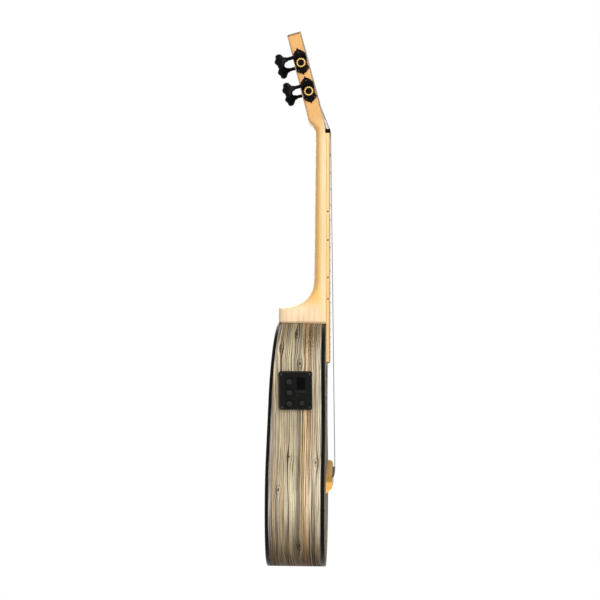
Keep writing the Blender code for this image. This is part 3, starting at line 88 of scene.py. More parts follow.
# The preamp: places are on the panel's face, X towards the front and Y up
KNOBS = ("volume", "bass", "treble")
KNOB_RADIUS = 0.00325
KNOB_TALL = 0.0042
GRIP_FROM = 0.0003
GRIP_TALL = KNOB_TALL * 0.72
GRIP_RIB = 1.10
GRIP_GROOVE = 1.02
RIM_RADIUS = KNOB_RADIUS * 0.86
RIM_THICK = 0.00012
CAP_RADIUS = KNOB_RADIUS * 0.72
CAP_THICK = 0.00026
POINTER = (0.0004, 0.0014, 0.00016)
POINTER_AT = 0.0014
POINTER_LIFT = 0.0003
CORNER_SCREW_INSET = (0.0032, 0.0034)
CORNER_SCREW_RADIUS = 0.0015
CORNER_SCREW_TALL = 0.0004
CORNER_SLOT = (0.0020, 0.0004, 0.00006)
CORNER_SLOT_TURNS = (math.radians(25), math.radians(115))
LIGHT_AT = (0.0022, -0.0060, 0.0)
LIGHT_RADIUS = 0.0009
LIGHT_TALL = 0.0003
LINE_AT = (0.0064, -0.0013, 0.0)
LINE = (0.0120, 0.0004, 0.00006)
RIB_INSET = 0.0009
RIB_SHORTER = (0.0030, 0.0070)
RIB_WIDE = 0.0004
RIB_TALL = 0.0003

# How the solids' copies are cleaned and their edges rounded
MERGE_WITHIN = 0.000002
FLAT_WITHIN = math.radians(0.4)
ROUND_ABOVE = math.radians(40)

UP = Vector((0.0, 0.0, 1.0))
TO_FRONT = Vector((0.0, -1.0, 0.0))
TO_BASS = Vector((-1.0, 0.0, 0.0))
TO_TREBLE = Vector((1.0, 0.0, 0.0))

# The camera and the light
CAMERA_TARGET = Vector((0.0, 0.034, -0.2121))
CAMERA_TURN = math.asin(0.048)
CAMERA_AWAY = 1.300
SENSOR_WIDE = 36.0
LENS_PER_WIDTH = 1010 / 600
LAMP_TARGET = Vector((0.0, 0.03, -0.2))
LAMPS = (
    ("side_softbox", (-1.7, -0.8, 0.7), (0.7, 1.8), 42),
    ("front_softbox", (-0.3, -1.8, 0.3), (1.2, 1.8), 9),
    ("back_softbox", (-0.9, 1.6, 0.2), (1.2, 1.6), 7),
    ("far_softbox", (1.6, 0.3, 0.6), (1.2, 1.6), 14),
)
AIR_LIGHT = 0.22
WHITE = (1.0, 1.0, 1.0, 1.0)
FLOOR_AT = -0.86
FLOOR_HALF = 12.0
FLOOR_GREY = (0.6, 0.6, 0.6, 1.0)
FLOOR_SEEN = (0.95, 0.95, 0.95, 1.0)
SHADOW_ROUND = (0.30, 0.85)
SHADOW_SHARE = 0.7


def tone(red, green, blue):
    """A screen colour, 0 to 255, as the shader takes it."""
    parts = []
    for value in (red / 255, green / 255, blue / 255):
        parts.append(value / 12.92 if value <= 0.04045 else ((value + 0.055) / 1.055) ** 2.4)
    return (*parts, 1.0)


def shaded(colour, share):
    """The colour at a share of its light."""
    return tuple(value * share for value in colour[:3]) + (1.0,)


class Signal:
    """An output of a shader node that sums and products can be written with."""

    def __init__(self, maker, socket):
        self.maker = maker
        self.socket = socket

    def out(self, name):
        return Signal(self.maker, self.socket.node.outputs[name])

    def maths(self, operation, *others):
        inputs = dict(enumerate((self, *others)))
        return self.maker.node("ShaderNodeMath", {"operation": operation}, inputs)

    def __add__(self, other):
        return self.maths("ADD", other)

    def __radd__(self, other):
        return self.maths("ADD", other)

    def __sub__(self, other):
        return self.maths("SUBTRACT", other)

    def __rsub__(self, other):
        return self.maths("MULTIPLY", -1.0).maths("ADD", other)

    def __mul__(self, other):
        return self.maths("MULTIPLY", other)

    def __rmul__(self, other):
        return self.maths("MULTIPLY", other)

    def __truediv__(self, other):
        return self.maths("DIVIDE", other)

    def root(self):
        return self.maths("SQRT")

    def sine(self):
        return self.maths("SINE")

    def at_least(self, limit):
        return self.maths("MAXIMUM", limit)

    def at_most(self, limit):
        return self.maths("MINIMUM", limit)

    def below(self, level, gain):
        """How far the value lies below a level, times a gain, and 0 above it."""
        return ((level - self) * gain).at_least(0.0)

    def fade(self, start, end):
        """1 below start, 0 above end."""
        inputs = {"Value": self, 1: start, 2: end, 3: 1.0, 4: 0.0}
        return self.maker.node("ShaderNodeMapRange", {"interpolation_type": "SMOOTHSTEP"}, inputs)


class NodeMaker:
    """Adds nodes to a material's or the world's tree."""

    def __init__(self, tree):
        self.tree = tree

    def node(self, kind, settings, inputs, output=0):
        """A new node with these settings and inputs, as the signal of one of its outputs."""
        made = self.tree.nodes.new(kind)
        for key, value in settings.items():
            if key == "stops":
                set_stops(made.color_ramp, value)
            else:
                setattr(made, key, value)
        for key, value in inputs.items():
            if isinstance(value, Signal):
                self.tree.links.new(value.socket, made.inputs[key])
            else:
                made.inputs[key].default_value = value
        return Signal(self, made.outputs[output]) if made.outputs else None

    def seen_directly(self):
        """1 for the camera, a reflection or a look through glass, and 0 for all other light."""
        path = self.node("ShaderNodeLightPath", {}, {})
        looks = path.out("Is Camera Ray") + path.out("Is Glossy Ray")
        return (looks + path.out("Is Transmission Ray")).at_most(1.0)


def set_stops(ramp, stops):
    """Gives a colour ramp these stops, each a place and a colour."""
    while len(ramp.elements) < len(stops):
        ramp.elements.new(0.5)
    for element, (place, colour) in zip(ramp.elements, stops):
        element.position = place
        element.color = colour


class Finish(NodeMaker):
    """A material in the making."""

    def __init__(self, name, roughness=0.5, metallic=0.0, specular=0.5):
        self.material = bpy.data.materials.new(name)
        self.material.use_nodes = True
        super().__init__(self.material.node_tree)
        self.shader = self.tree.nodes["Principled BSDF"]
        self.feed(Roughness=roughness, Metallic=metallic, Specular_IOR_Level=specular)

    def feed(self, **values):
        """Sets or links the surface's inputs, named with _ for a space."""
        for name, value in values.items():
            socket = self.shader.inputs[name.replace("_", " ")]
            if isinstance(value, Signal):
                self.tree.links.new(value.socket, socket)
            else:
                socket.default_value = value
        return self

    def spot(self):
        """The point on the piece."""
        return self.node("ShaderNodeTexCoord", {}, {}, "Object")

    def parts(self, spot):
        """The point's X, Y and Z."""
        split = self.node("ShaderNodeSeparateXYZ", {}, {0: spot})
        return split.out("X"), split.out("Y"), split.out("Z")

    def noise(self, spot, stretch, detail=2.0, roughness=0.5):
        """Noise that changes so many times a metre along each axis."""
        place = self.node("ShaderNodeVectorMath", {"operation": "MULTIPLY"}, {0: spot, 1: stretch})
        inputs = {"Vector": place, "Scale": 1.0, "Detail": detail, "Roughness": roughness}
        return self.node("ShaderNodeTexNoise", {}, inputs)

    def grain(self, across, along, per_metre_across, per_metre_along, detail=2.0):
        """Noise drawn out along the wood, on places that may bend round its knots."""
        layer = per_metre_across * 0.01
        parts = {0: across * per_metre_across, 1: layer, 2: along * per_metre_along}
        place = self.node("ShaderNodeCombineXYZ", {}, parts)
        inputs = {"Vector": place, "Scale": 1.0, "Detail": detail, "Roughness": 0.6}
        return self.node("ShaderNodeTexNoise", {}, inputs)

    def ramp(self, value, stops):
        """The colour that the stops give for a value."""
        return self.node("ShaderNodeValToRGB", {"stops": stops}, {0: value})

    def mix(self, share, first, second):
        """The first colour, with so great a share of the second."""
        inputs = {0: share, 6: first, 7: second}
        return self.node("ShaderNodeMix", {"data_type": "RGBA"}, inputs, 2)

    def darken(self, share, colour, tint):
        """The colour times a tint, which keeps its contrast."""
        settings = {"data_type": "RGBA", "blend_type": "MULTIPLY"}
        return self.node("ShaderNodeMix", settings, {0: share, 6: colour, 7: tint}, 2)

    def bumps(self, height, distance, strength=0.5):
        """Makes the surface look raised where the height is greater."""
        inputs = {"Strength": strength, "Distance": distance, "Height": height}
        return self.feed(Normal=self.node("ShaderNodeBump", {}, inputs))


# The laminate's strips in the order in which they lie, from the front of the side to its back
DRIFT_STRIPS = (
    (0.00, tone(206, 198, 176)),
    (0.07, tone(184, 178, 158)),
    (0.15, tone(216, 200, 168)),
    (0.20, tone(196, 164, 116)),
    (0.27, tone(226, 176, 108)),
    (0.36, tone(208, 164, 104)),
    (0.40, tone(148, 142, 132)),
    (0.47, tone(136, 130, 122)),
    (0.51, tone(214, 197, 158)),
    (0.60, tone(206, 186, 146)),
    (0.66, tone(176, 160, 130)),
    (0.72, tone(208, 188, 148)),
    (0.79, tone(158, 142, 114)),
    (0.86, tone(160, 150, 126)),
    (0.90, tone(178, 181, 172)),
    (0.95, tone(168, 168, 156)),
    (1.00, tone(206, 150, 84)),
)
# The tones among which each thin sheet of the laminate has its own
SHEET_TONES = (
    (0.00, tone(236, 222, 190)),
    (0.10, tone(190, 176, 146)),
    (0.20, tone(220, 174, 112)),
    (0.30, tone(138, 138, 134)),
    (0.38, tone(228, 208, 170)),
    (0.48, tone(128, 106, 80)),
    (0.55, tone(216, 176, 136)),
    (0.64, tone(160, 166, 166)),
    (0.72, tone(218, 162, 92)),
    (0.80, tone(226, 214, 180)),
    (0.90, tone(104, 90, 70)),
    (1.00, tone(196, 186, 138)),
)
SHEET_THICK = 0.0022
SHEET_SHARE = 0.56
SHEET_WAVER = 0.004
STRIP_WAVER = 0.0040
# Dark marks: start in the noise, changes a metre across and along, detail, level and gain
BROAD_STREAKS = (3.1, 560, 8, 2.0, 0.43, 8.0)
FINE_STREAKS = (1.7, 1500, 18, 3.0, 0.46, 6.0)
CRACKS = (7.9, 2200, 240, 2.0, 0.41, 4.0)
KNOT_DARK = 0.9
CLOUD_DARK = tone(120, 102, 76)
CLOUD_LIGHT = tone(250, 238, 208)
STREAK_BROWN = tone(52, 40, 28)
DARKEST = 0.94
WEATHERED_GREEN = tone(98, 100, 86)
WEATHERED_GREY = tone(196, 190, 178)

# Where the side is darkened, and how far each place reaches: painted shade below the heel and
# towards the tail, and a patch of brown streaks
SHADE_AND_STREAK_TINT = tone(120, 97, 62)
SHADE_AND_STREAK_DARKEST = 0.95
PAINTED_SHADE_BELOW_HEEL = (-0.280, -0.242)
PAINTED_SHADE_AT_TAIL = (-0.552, -0.440)
STREAK_PATCH_AT = (0.018, -0.262)
STREAK_PATCH_HALF = (0.009, 0.024)

# The knots: place across the wood, place along it, and size against the plain knot's
KNOT_HALF_WIDE = 0.0028
KNOT_HALF_LONG = 0.0050
KNOT_BEND = 0.0018
KNOT_RINGS = 9.0
SIDE_KNOTS = (
    (0.0537, -0.2707, 1.0),
    (0.0303, -0.2887, 1.2),
    (0.0431, -0.4005, 0.9),
    (0.0112, -0.4066, 1.0),
    (0.0549, -0.4362, 1.2),
    (0.0303, -0.5033, 1.3),
    (0.0241, -0.5286, 0.9),
    (0.0354, -0.2541, 1.1),
)
FACE_KNOTS = (
    (-0.0620, -0.2950, 1.1),
    (0.0480, -0.2700, 0.9),
    (-0.0830, -0.4350, 1.2),
    (0.0710, -0.4620, 1.0),
    (0.0260, -0.5080, 0.9),
    (-0.0330, -0.3900, 0.8),
    (0.0950, -0.3990, 0.8),
)


def round_knots(across, along, knots):
    """How far the grain bends round the knots, and how dark they and their rings are."""
    bend, dark = 0.0, 0.0
    for across_at, along_at, size in knots:
        side = (across - across_at) * (1 / (KNOT_HALF_WIDE * size))
        length = (along - along_at) * (1 / (KNOT_HALF_LONG * size))
        distance = (side * side + length * length).root()
        bend = side * distance.fade(0.2, 2.8) * (-KNOT_BEND * size) + bend
        rings = (distance * KNOT_RINGS + side * 2.0).sine() * 0.5 + 0.5
        dark = distance.fade(0.3, 1.3) * rings + dark
    return bend, dark


def painted_shade_and_streaks(finish, spot, y, z):
    """Where the side is darkened: painted shade below the heel and towards its tail, and brown
    streaks in one patch.
    """
    # Painted shade: darker below the heel, where the shoulder lies in the heel's shadow, and
    # towards the tail, where the side turns down away from the light.
    ends = (1 - z.fade(*PAINTED_SHADE_BELOW_HEEL)) * 0.5 + z.fade(*PAINTED_SHADE_AT_TAIL)
    side = (y - STREAK_PATCH_AT[0]) * (1 / STREAK_PATCH_HALF[0])
    length = (z - STREAK_PATCH_AT[1]) * (1 / STREAK_PATCH_HALF[1])
    patch = (side * side + length * length).root().fade(0.2, 1.2)
    streaks = finish.noise(spot, (900, 900, 60), 2.0).below(0.58, 5.0).at_most(1.0)
    return (ends + patch * streaks * 0.7).at_most(SHADE_AND_STREAK_DARKEST)


def sheet_lines(finish, place, z):
    """The tone of each thin sheet, and the dark glue line along its edge where it shows."""
    edge = (place + finish.grain(place + 9.4, z, 90, 4) * SHEET_WAVER) * (1 / SHEET_THICK)
    number = edge.maths("FLOOR")
    within = edge - number
    own = finish.node("ShaderNodeTexWhiteNoise", {"noise_dimensions": "1D"}, {"W": number})
    glued = finish.grain(number * SHEET_THICK, z, 900, 9, 2.0) - 0.42
    lines = within.fade(0.10, 0.50) * (glued * 8.0).at_least(0.0).at_most(0.95)
    return finish.ramp(own, SHEET_TONES), lines


def marks(finish, place, z, plan):
    """One kind of dark mark along the wood."""
    start, across, along, detail, level, gain = plan
    return finish.grain(place + start, z, across, along, detail).below(level, gain)


def driftwood(name, axis, knots, start, wide, roughness, specular, weathered=None):
    """Thin sheets of weathered wood glued side by side, with streaks that part round the knots.

    The strips run through once from the start, over the width, and back again. A length that is
    added to a place only takes its pattern from another part of the noise.
    """
    finish = Finish(name, roughness, specular=specular)
    spot = finish.spot()
    x, y, z = finish.parts(spot)
    across = x if axis == "X" else y
    bend, knot = round_knots(across, z, knots)
    waver = finish.noise(spot, (30, 30, 6), 2.0) - 0.5
    place = across + waver * STRIP_WAVER + bend

    strips = finish.ramp(((place - start) / wide).maths("PINGPONG", 1.0), DRIFT_STRIPS)
    sheets, lines = sheet_lines(finish, place, z)
    colour = finish.mix(SHEET_SHARE, strips, sheets)
    cloud = finish.grain(place, z, 420, 8, 3.0)
    colour = finish.mix(cloud.below(0.5, 1.8), colour, CLOUD_DARK)
    colour = finish.mix((1 - cloud).below(0.52, 3.2), colour, CLOUD_LIGHT)

    broad = marks(finish, place, z, BROAD_STREAKS)
    streaks = marks(finish, place, z, FINE_STREAKS)
    cracks = marks(finish, place, z, CRACKS)
    dark = (lines + broad + streaks + cracks + knot * KNOT_DARK).at_most(DARKEST)
    colour = finish.mix(dark, colour, STREAK_BROWN)
    # On the side: painted shade below the heel and towards the tail, and a patch of brown streaks.
    if axis == "Y":
        colour = finish.darken(painted_shade_and_streaks(finish, spot, y, z), colour, SHADE_AND_STREAK_TINT)
    if weathered:
        share, tint, shade = weathered
        colour = finish.darken(shade, finish.mix(share, colour, tint), tint)
    finish.feed(Base_Color=colour, Roughness=roughness + dark * 0.2)
    return finish.bumps(1 - dark, 0.00012, 0.3).material


# Between which two places the other woods and the gears change their tone, some of it painted
# shade, highlight and reflection, along the head, along the neck (Z), from the front to the back
# (Y), from the head's end and out from the axle
HEAD_REDDENS_AND_SHADES = (-0.004, 0.030)
HEAD_DARK_END = (0.0046, 0.0030)
HEEL_BELOW = (-0.226, -0.206)
HEEL_BEHIND = (0.0, 0.012)
NECK_BACK_SHADE_BEHIND = (0.005, 0.0105)
NECK_BACK_SHADE_BELOW = (0.0, 0.018)
HEEL_FOOT_SHADOW_BELOW = (-0.2406, -0.2384)
HEEL_FOOT_SHADOW_BEHIND = (-0.0005, 0.0)
BOARD_END_SHADE = (FRETBOARD_END + 0.0012, FRETBOARD_END + 0.0020)
BOARD_FACE_SHADE = (FRETBOARD_FRONT + 0.0002, FRETBOARD_FRONT + 0.0012)
BRIDGE_TOP_SHADE = (-0.4390, -0.4350)
GEAR_TEETH_REFLECTION = (0.0050, 0.0060)


def straight_grain(finish, light, dark, stretch):
    """The colour of straight-grained wood, and its pores."""
    spot = finish.spot()
    pores = finish.noise(spot, stretch, 4.0, 0.65)
    figure = finish.noise(spot, tuple(value * 0.12 for value in stretch), 2.0)
    share = (pores - 0.38) * 1.4 + (figure - 0.5) * 1.2
    middle = tuple((a + b) / 2 for a, b in zip(light, dark))
    return finish.ramp(share, ((0.0, light), (0.55, middle), (1.0, dark))), pores


def neck_wood():
    """Honey-coloured wood, redder up the head and grey-brown at its end, paler at the heel, with
    painted shade on the head, the neck's back and the heel's foot, and a painted highlight on the
    heel.
    """
    finish = Finish("honey_neck_wood", 0.36, specular=0.3)
    light, dark = tone(252, 222, 170), tone(232, 182, 112)
    colour, pores = straight_grain(finish, light, dark, (620, 380, 7))
    spot = finish.spot()
    y, z = finish.parts(spot)[1:]

    along = z * math.cos(HEAD_TILT) + y * math.sin(HEAD_TILT)
    # Redder and darker up the head: partly the wood's own tone and partly painted shade on the
    # head's side and volute.
    redder = 1 - along.fade(*HEAD_REDDENS_AND_SHADES)
    colour = finish.mix(redder * 0.7, colour, tone(212, 146, 66))
    start = HEAD.translation.z * math.cos(HEAD_TILT) + HEAD.translation.y * math.sin(HEAD_TILT)
    end = start + HEAD_LENGTH
    # Grey-brown over the last few millimetres of the head's end.
    dark_head_end = 1 - along.fade(end - HEAD_DARK_END[0], end - HEAD_DARK_END[1])
    colour = finish.mix(dark_head_end * 0.85, colour, tone(112, 92, 66))

    # Paler at the heel: partly the wood's own tone and partly a painted highlight; brown grain
    # streaks follow.
    heel = z.fade(*HEEL_BELOW) * (1 - y.fade(*HEEL_BEHIND))
    colour = finish.mix(heel * 0.6, colour, tone(255, 230, 198))
    streaks = finish.noise(spot, (420, 300, 16), 3.0).below(0.52, 3.5).at_most(1.0)
    colour = finish.mix(heel * streaks * 0.5, colour, tone(204, 158, 108))
    # Painted shade: a deeper orange on the neck's rounded back, where it turns away from the
    # light.
    back = (1 - y.fade(*NECK_BACK_SHADE_BEHIND)) * z.fade(*NECK_BACK_SHADE_BELOW) * (1 - heel)
    colour = finish.mix(back * 0.8, colour, tone(255, 196, 104))
    # Painted shadow: a brown band at the heel's foot, where it meets the body.
    foot = z.fade(*HEEL_FOOT_SHADOW_BELOW) * (1 - y.fade(*HEEL_FOOT_SHADOW_BEHIND))
    colour = finish.mix(foot * 0.6, colour, tone(150, 116, 78))
    return finish.feed(Base_Color=colour).bumps(1 - pores, 0.00004, 0.25).material


def board_wood():
    """The fretboard's pale wood, with painted shade darkening its face and its lower end."""
    finish = Finish("pale_board_wood", 0.6, specular=0.03)
    light, dark = tone(245, 210, 156), tone(216, 164, 98)
    colour, pores = straight_grain(finish, light, dark, (900, 540, 14))
    y, z = finish.parts(finish.spot())[1:]
    # Painted shade: dark brown at the board's rounded lower end.
    colour = finish.mix(z.fade(*BOARD_END_SHADE) * 0.85, colour, tone(92, 56, 24))
    # Painted shade: the board's face darkened, which shows as a dark line along its front edge.
    colour = finish.mix(y.fade(*BOARD_FACE_SHADE) * 0.6, colour, tone(124, 82, 36))
    return finish.feed(Base_Color=colour).bumps(1 - pores, 0.00005, 0.3).material


def bridge_wood():
    """The bridge's orange wood, its grain along the bridge, with painted shade towards its upper
    edge.
    """
    finish = Finish("orange_bridge_wood", 0.6, specular=0.05)
    light, dark = tone(255, 198, 106), tone(222, 150, 66)
    colour, pores = straight_grain(finish, light, dark, (14, 700, 900))
    z = finish.parts(finish.spot())[2]
    # Painted shade on the bridge's upper part, whose face looks up the neck, away from the light.
    shaded_top = 1 - z.fade(*BRIDGE_TOP_SHADE)
    colour = finish.mix(shaded_top * 0.85, colour, tone(158, 122, 72))
    return finish.feed(Base_Color=colour).bumps(1 - pores, 0.00005, 0.3).material


def inner_wood():
    """The plain pale wood of the blocks, linings and braces."""
    finish = Finish("inner_wood", 0.75, specular=0.2)
    light, dark = tone(226, 199, 158), tone(196, 160, 112)
    colour, pores = straight_grain(finish, light, dark, (500, 300, 10))
    return finish.feed(Base_Color=colour).bumps(1 - pores, 0.00005, 0.3).material


def black_finish(name, colour, roughness, speckle, specular, metallic=0.0):
    """Black or dark grey plastic, bone or plating, with a little unevenness in its gloss."""
    finish = Finish(name, roughness, metallic, specular)
    mottle = finish.noise(finish.spot(), (speckle, speckle, speckle), 3.0)
    colours = finish.mix(mottle, shaded(colour, 0.8), shaded(colour, 1.3))
    finish.feed(Base_Color=colours, Roughness=roughness + (mottle - 0.5) * 0.16)
    return finish.bumps(mottle, 0.00001, 0.4).material


def metal_finish(name, colour, roughness, scratches):
    """Bare metal, worn darker in scratches."""
    finish = Finish(name, roughness, 1.0)
    wear = finish.noise(finish.spot(), scratches, 4.0, 0.7)
    worn = finish.mix(wear, colour, shaded(colour, 0.7))
    finish.feed(Base_Color=worn, Roughness=roughness + (wear - 0.5) * 0.2)
    return finish.bumps(wear, 0.00002, 0.3).material


def gear_brass():
    """Cut brass, bright round the washer and painted dark brown out at the teeth as a reflection
    of the wood round the gear.
    """
    finish = Finish("cut_brass", 0.38, 1.0)
    spot = finish.spot()
    y, z = finish.parts(spot)[1:]
    wear = finish.noise(spot, (400, 900, 900), 4.0, 0.7)
    colour = finish.mix(wear, tone(228, 192, 118), tone(190, 148, 80))
    nearest = 1.0
    for number in (1, 2):
        middle = JOINTS[f"roller_{number}_spin"]["pos_m"]
        side, length = y - middle[1], z - middle[2]
        nearest = (side * side + length * length).root().at_most(nearest)
    # Painted reflection: the teeth darken to the brown of the wood round the gear.
    teeth_reflection = 1 - nearest.fade(*GEAR_TEETH_REFLECTION)
    colour = finish.mix(teeth_reflection * 0.75, colour, tone(74, 48, 24))
    finish.feed(Base_Color=colour, Roughness=(wear - 0.5) * 0.2 + 0.38)
    return finish.bumps(wear, 0.00002, 0.3).material


def clouded(name, first, second, stretch, roughness, specular=0.5):
    """A smooth finish that drifts between two tones."""
    finish = Finish(name, roughness, specular=specular)
    cloud = finish.noise(finish.spot(), stretch, 3.0)
    return finish.feed(Base_Color=finish.mix(cloud, first, second)).material


SIDE_WOOD = driftwood(
    "side_driftwood", "Y", SIDE_KNOTS, start=0.0046, wide=0.0640, roughness=0.5, specular=0.08
)
FACE_WOOD = driftwood(
    "face_driftwood", "X", FACE_KNOTS, start=-0.1150, wide=0.0580,
    roughness=0.7, specular=0.02, weathered=(0.34, WEATHERED_GREEN, 0.34),
)
HEAD_WOOD = driftwood(
    "head_driftwood", "X", (), start=-0.0420, wide=0.0560,
    roughness=0.5, specular=0.15, weathered=(0.5, WEATHERED_GREY, 0.0),
)
NECK_WOOD = neck_wood()
BOARD_WOOD = board_wood()
BRIDGE_WOOD = bridge_wood()
INNER_WOOD = inner_wood()
BINDING = black_finish("black_binding", tone(13, 13, 15), 0.3, 300, 0.06)
BONE = black_finish("black_nut_and_saddle", tone(10, 9, 8), 0.5, 600, 0.02)
PLATING = black_finish("black_plating", tone(9, 8, 7), 0.3, 900, 0.06)
SHELL = black_finish("black_moulding", tone(24, 24, 23), 0.5, 2500, 0.05)
KNOB_BLACK = black_finish("knob_moulding", tone(18, 18, 19), 0.25, 1800, 0.3)
# Grey for painted highlights on the knobs' rims and along the panel's rib.
HIGHLIGHT_GREY = black_finish("painted_highlight_grey", tone(44, 44, 43), 0.35, 1800, 0.3)
BUTTON_BLACK = black_finish("button_moulding", tone(7, 7, 9), 0.3, 700, 0.06)
SCREW_BLACK = black_finish("blackened_screw", tone(74, 72, 69), 0.25, 1500, 0.5, 0.9)
BRASS = gear_brass()
NICKEL = metal_finish("nickel", tone(176, 174, 170), 0.3, (900, 900, 900))
FRET_METAL = metal_finish("fret_nickel", tone(132, 124, 108), 0.4, (120, 2600, 2600))
NYLON = clouded(
    "string_nylon", tone(142, 138, 144), tone(118, 114, 122), (900, 900, 60), 0.4, 0.1
)
WINDOW = clouded("display_window", tone(3, 3, 4), tone(6, 6, 7), (60, 60, 60), 0.12, 0.05)
PEARL = clouded("pearl_dot", tone(232, 230, 222), tone(206, 216, 214), (500, 500, 700), 0.2)
LENS = clouded("signal_lens", tone(66, 50, 44), tone(40, 32, 30), (700, 700, 700), 0.2, 0.3)
PANEL_LINE = clouded(
    "panel_line", tone(78, 76, 72), tone(60, 58, 56), (900, 900, 900), 0.5, 0.1
)


def piece(shape, name, body, finish, bevel=0.0, smooth_below=35):
    """The bmesh as a piece that rides on a body, shaded smooth below so many degrees."""
    mesh = bpy.data.meshes.new(name)
    shape.to_mesh(mesh)
    shape.free()
    mesh.shade_smooth()
    mesh.set_sharp_from_angle(angle=math.radians(smooth_below))
    mesh.materials.append(finish)
    made = bpy.data.objects.new(name, mesh)
    bpy.context.scene.collection.objects.link(made)
    if bevel:
        rounding = made.modifiers.new("rounding", "BEVEL")
        rounding.width = bevel
        rounding.segments = 2
        rounding.limit_method = "ANGLE"
        rounding.angle_limit = ROUND_ABOVE
        rounding.harden_normals = True
    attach(made, body)
    return made


def deepen(shape):
    """Lets a tuner's button reach further towards its plate."""
    spots = [HEAD.inverted() @ vert.co for vert in shape.verts]
    back = max(spot.y for spot in spots)
    for vert, spot in zip(shape.verts, spots):
        spot.y = back - (back - spot.y) * BUTTON_DEEPER
        vert.co = HEAD @ spot


def fine_copy(node, finish, bevel):
    """A smooth-shaded copy of a node's solid, with its edges rounded, in the node's place."""
    shape = bmesh.new()
    shape.from_mesh(NODES[node].data)
    if node.startswith("tuner_button"):
        deepen(shape)
    bmesh.ops.remove_doubles(shape, verts=shape.verts, dist=MERGE_WITHIN)
    bmesh.ops.dissolve_limit(
        shape, angle_limit=FLAT_WITHIN, verts=shape.verts, edges=shape.edges
    )
    made = piece(shape, node + "_finished", BODY_OF[node], finish, bevel)
    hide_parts(node)


def numbered(name):
    """The names of the four tuners' or strings' nodes of one kind."""
    return tuple(f"{name}_{number}" for number in TUNERS)


def dress_nodes():
    """Finished copies for the nodes that are seen, and a plain finish for the ones within."""
    plans = (
        (("side_bass", "side_treble"), SIDE_WOOD, 0.0),
        (("soundboard", "back_plate"), FACE_WOOD, 0.0),
        (("head_veneer",), HEAD_WOOD, 0.00025),
        (("neck",), NECK_WOOD, 0.0004),
        (("fretboard",), BOARD_WOOD, 0.0),
        (("bridge",), BRIDGE_WOOD, 0.0004),
        (("nut", "saddle"), BONE, 0.0002),
        (("top_binding", "back_binding", "rosette"), BINDING, 0.0),
        (numbered("tuner_plate"), PLATING, 0.00022),
        (numbered("worm_shaft") + numbered("string_roller"), PLATING, 0.00012),
        (numbered("gear"), BRASS, 0.00012),
        (numbered("tuner_button"), BUTTON_BLACK, 0.0),
        (("preamp_panel",), SHELL, 0.0002),
        (("volume_knob", "bass_knob", "treble_knob", "tuner_switch"), KNOB_BLACK, 0.0002),
        (("tuner_display",), WINDOW, 0.0001),
        (("output_jack",), NICKEL, 0.0002),
        (numbered("string"), NYLON, 0.0),
    )
    dressed = set()
    for names, finish, bevel in plans:
        for name in names:
            fine_copy(name, finish, bevel)
            dressed.add(name)
    for name, node in NODES.items():
        if name in dressed:
            continue
        finish = PLATING if name == "saddle_pickup" else INNER_WOOD
        if not node.material_slots:
            node.data.materials.append(finish)
        for slot in node.material_slots:
            slot.material = finish


def fret_at(number):
    """The height of a fret."""
    return -SCALE_LENGTH * (1 - 2 ** (-number / 12))


def board_half(z):
    """Half the fretboard's width at a height."""
    return NUT_HALF + (FRETBOARD_END_HALF - NUT_HALF) * z / FRETBOARD_END


def disc(shape, radius, tall, frame_at, sides=24, narrow=1.0):
    """A round plug that stands on a frame's origin, along its Z, and may narrow to its top."""
    bmesh.ops.create_cone(
        shape,
        cap_ends=True,
        segments=sides,
        radius1=radius,
        radius2=radius * narrow,
        depth=tall,
        matrix=moved(frame_at, 0.0, 0.0, tall / 2),
    )


def bar(shape, size, frame_at):
    """A block of this size about a frame's origin."""
    bmesh.ops.create_cube(shape, size=1.0, matrix=frame_at @ Matrix.Diagonal((*size, 1.0)))


def facing(place, out, up):
    """The frame at a place whose Z points out and whose Y points up."""
    turned = Matrix((up.cross(out), up, out)).transposed().to_4x4()
    turned.translation = place
    return turned


def moved(frame_at, x, y, z):
    """The frame, moved along its own axes."""
    return frame_at @ Matrix.Translation((x, y, z))


def make_frets():
    """Crowned fret wires over the ones in the board's solid."""
    shape = bmesh.new()
    across = Matrix.Rotation(math.pi / 2, 4, "Y")
    crown = Matrix.Diagonal((FRET_WIDE / 2, FRET_CROWN, 1.0, 1.0))
    for number in range(1, FRET_COUNT + 1):
        z = fret_at(number)
        bmesh.ops.create_cone(
            shape,
            cap_ends=True,
            segments=20,
            radius1=1.0,
            radius2=1.0,
            depth=2 * board_half(z) - FRET_SHORTER,
            matrix=Matrix.Translation((0.0, FRETBOARD_FRONT, z)) @ across @ crown,
        )
    piece(shape, "fret_wires", "instrument", FRET_METAL, bevel=0.0002, smooth_below=50)


def make_dots():
    """Dark dots along the board's bass edge, and pale ones on its face."""
    side = bmesh.new()
    front = bmesh.new()
    for fret in (*DOTTED_FRETS, TWIN_DOTTED_FRET):
        z = (fret_at(fret) + fret_at(fret - 1)) / 2 - DOT_LOWER
        edge = Vector((-board_half(z) + DOT_SUNK, SIDE_DOT_Y, z))
        disc(side, SIDE_DOT_RADIUS, DOT_THICK, facing(edge, TO_BASS, UP), 20)
        for x in ((-TWIN_DOT_AT, TWIN_DOT_AT) if fret == TWIN_DOTTED_FRET else (0.0,)):
            place = Vector((x, FRETBOARD_FRONT + DOT_SUNK, z))
            disc(front, FRONT_DOT_RADIUS, DOT_THICK, facing(place, TO_FRONT, UP), 32)
    piece(side, "side_dots", "instrument", BONE)
    piece(front, "front_dots", "instrument", PEARL)


def on_tuner(number, away, behind=0.0, along=0.0):
    """The frame that faces out of the head beside a roller, so far from the centre plane."""
    joint = Vector(JOINTS[f"roller_{number}_spin"]["pos_m"])
    side = math.copysign(1.0, joint.x)
    middle = HEAD.inverted() @ joint
    place = HEAD @ Vector((side * away, middle.y + behind, middle.z + along))
    turn = HEAD.to_3x3()
    return facing(place, turn @ Vector((side, 0.0, 0.0)), turn @ UP)


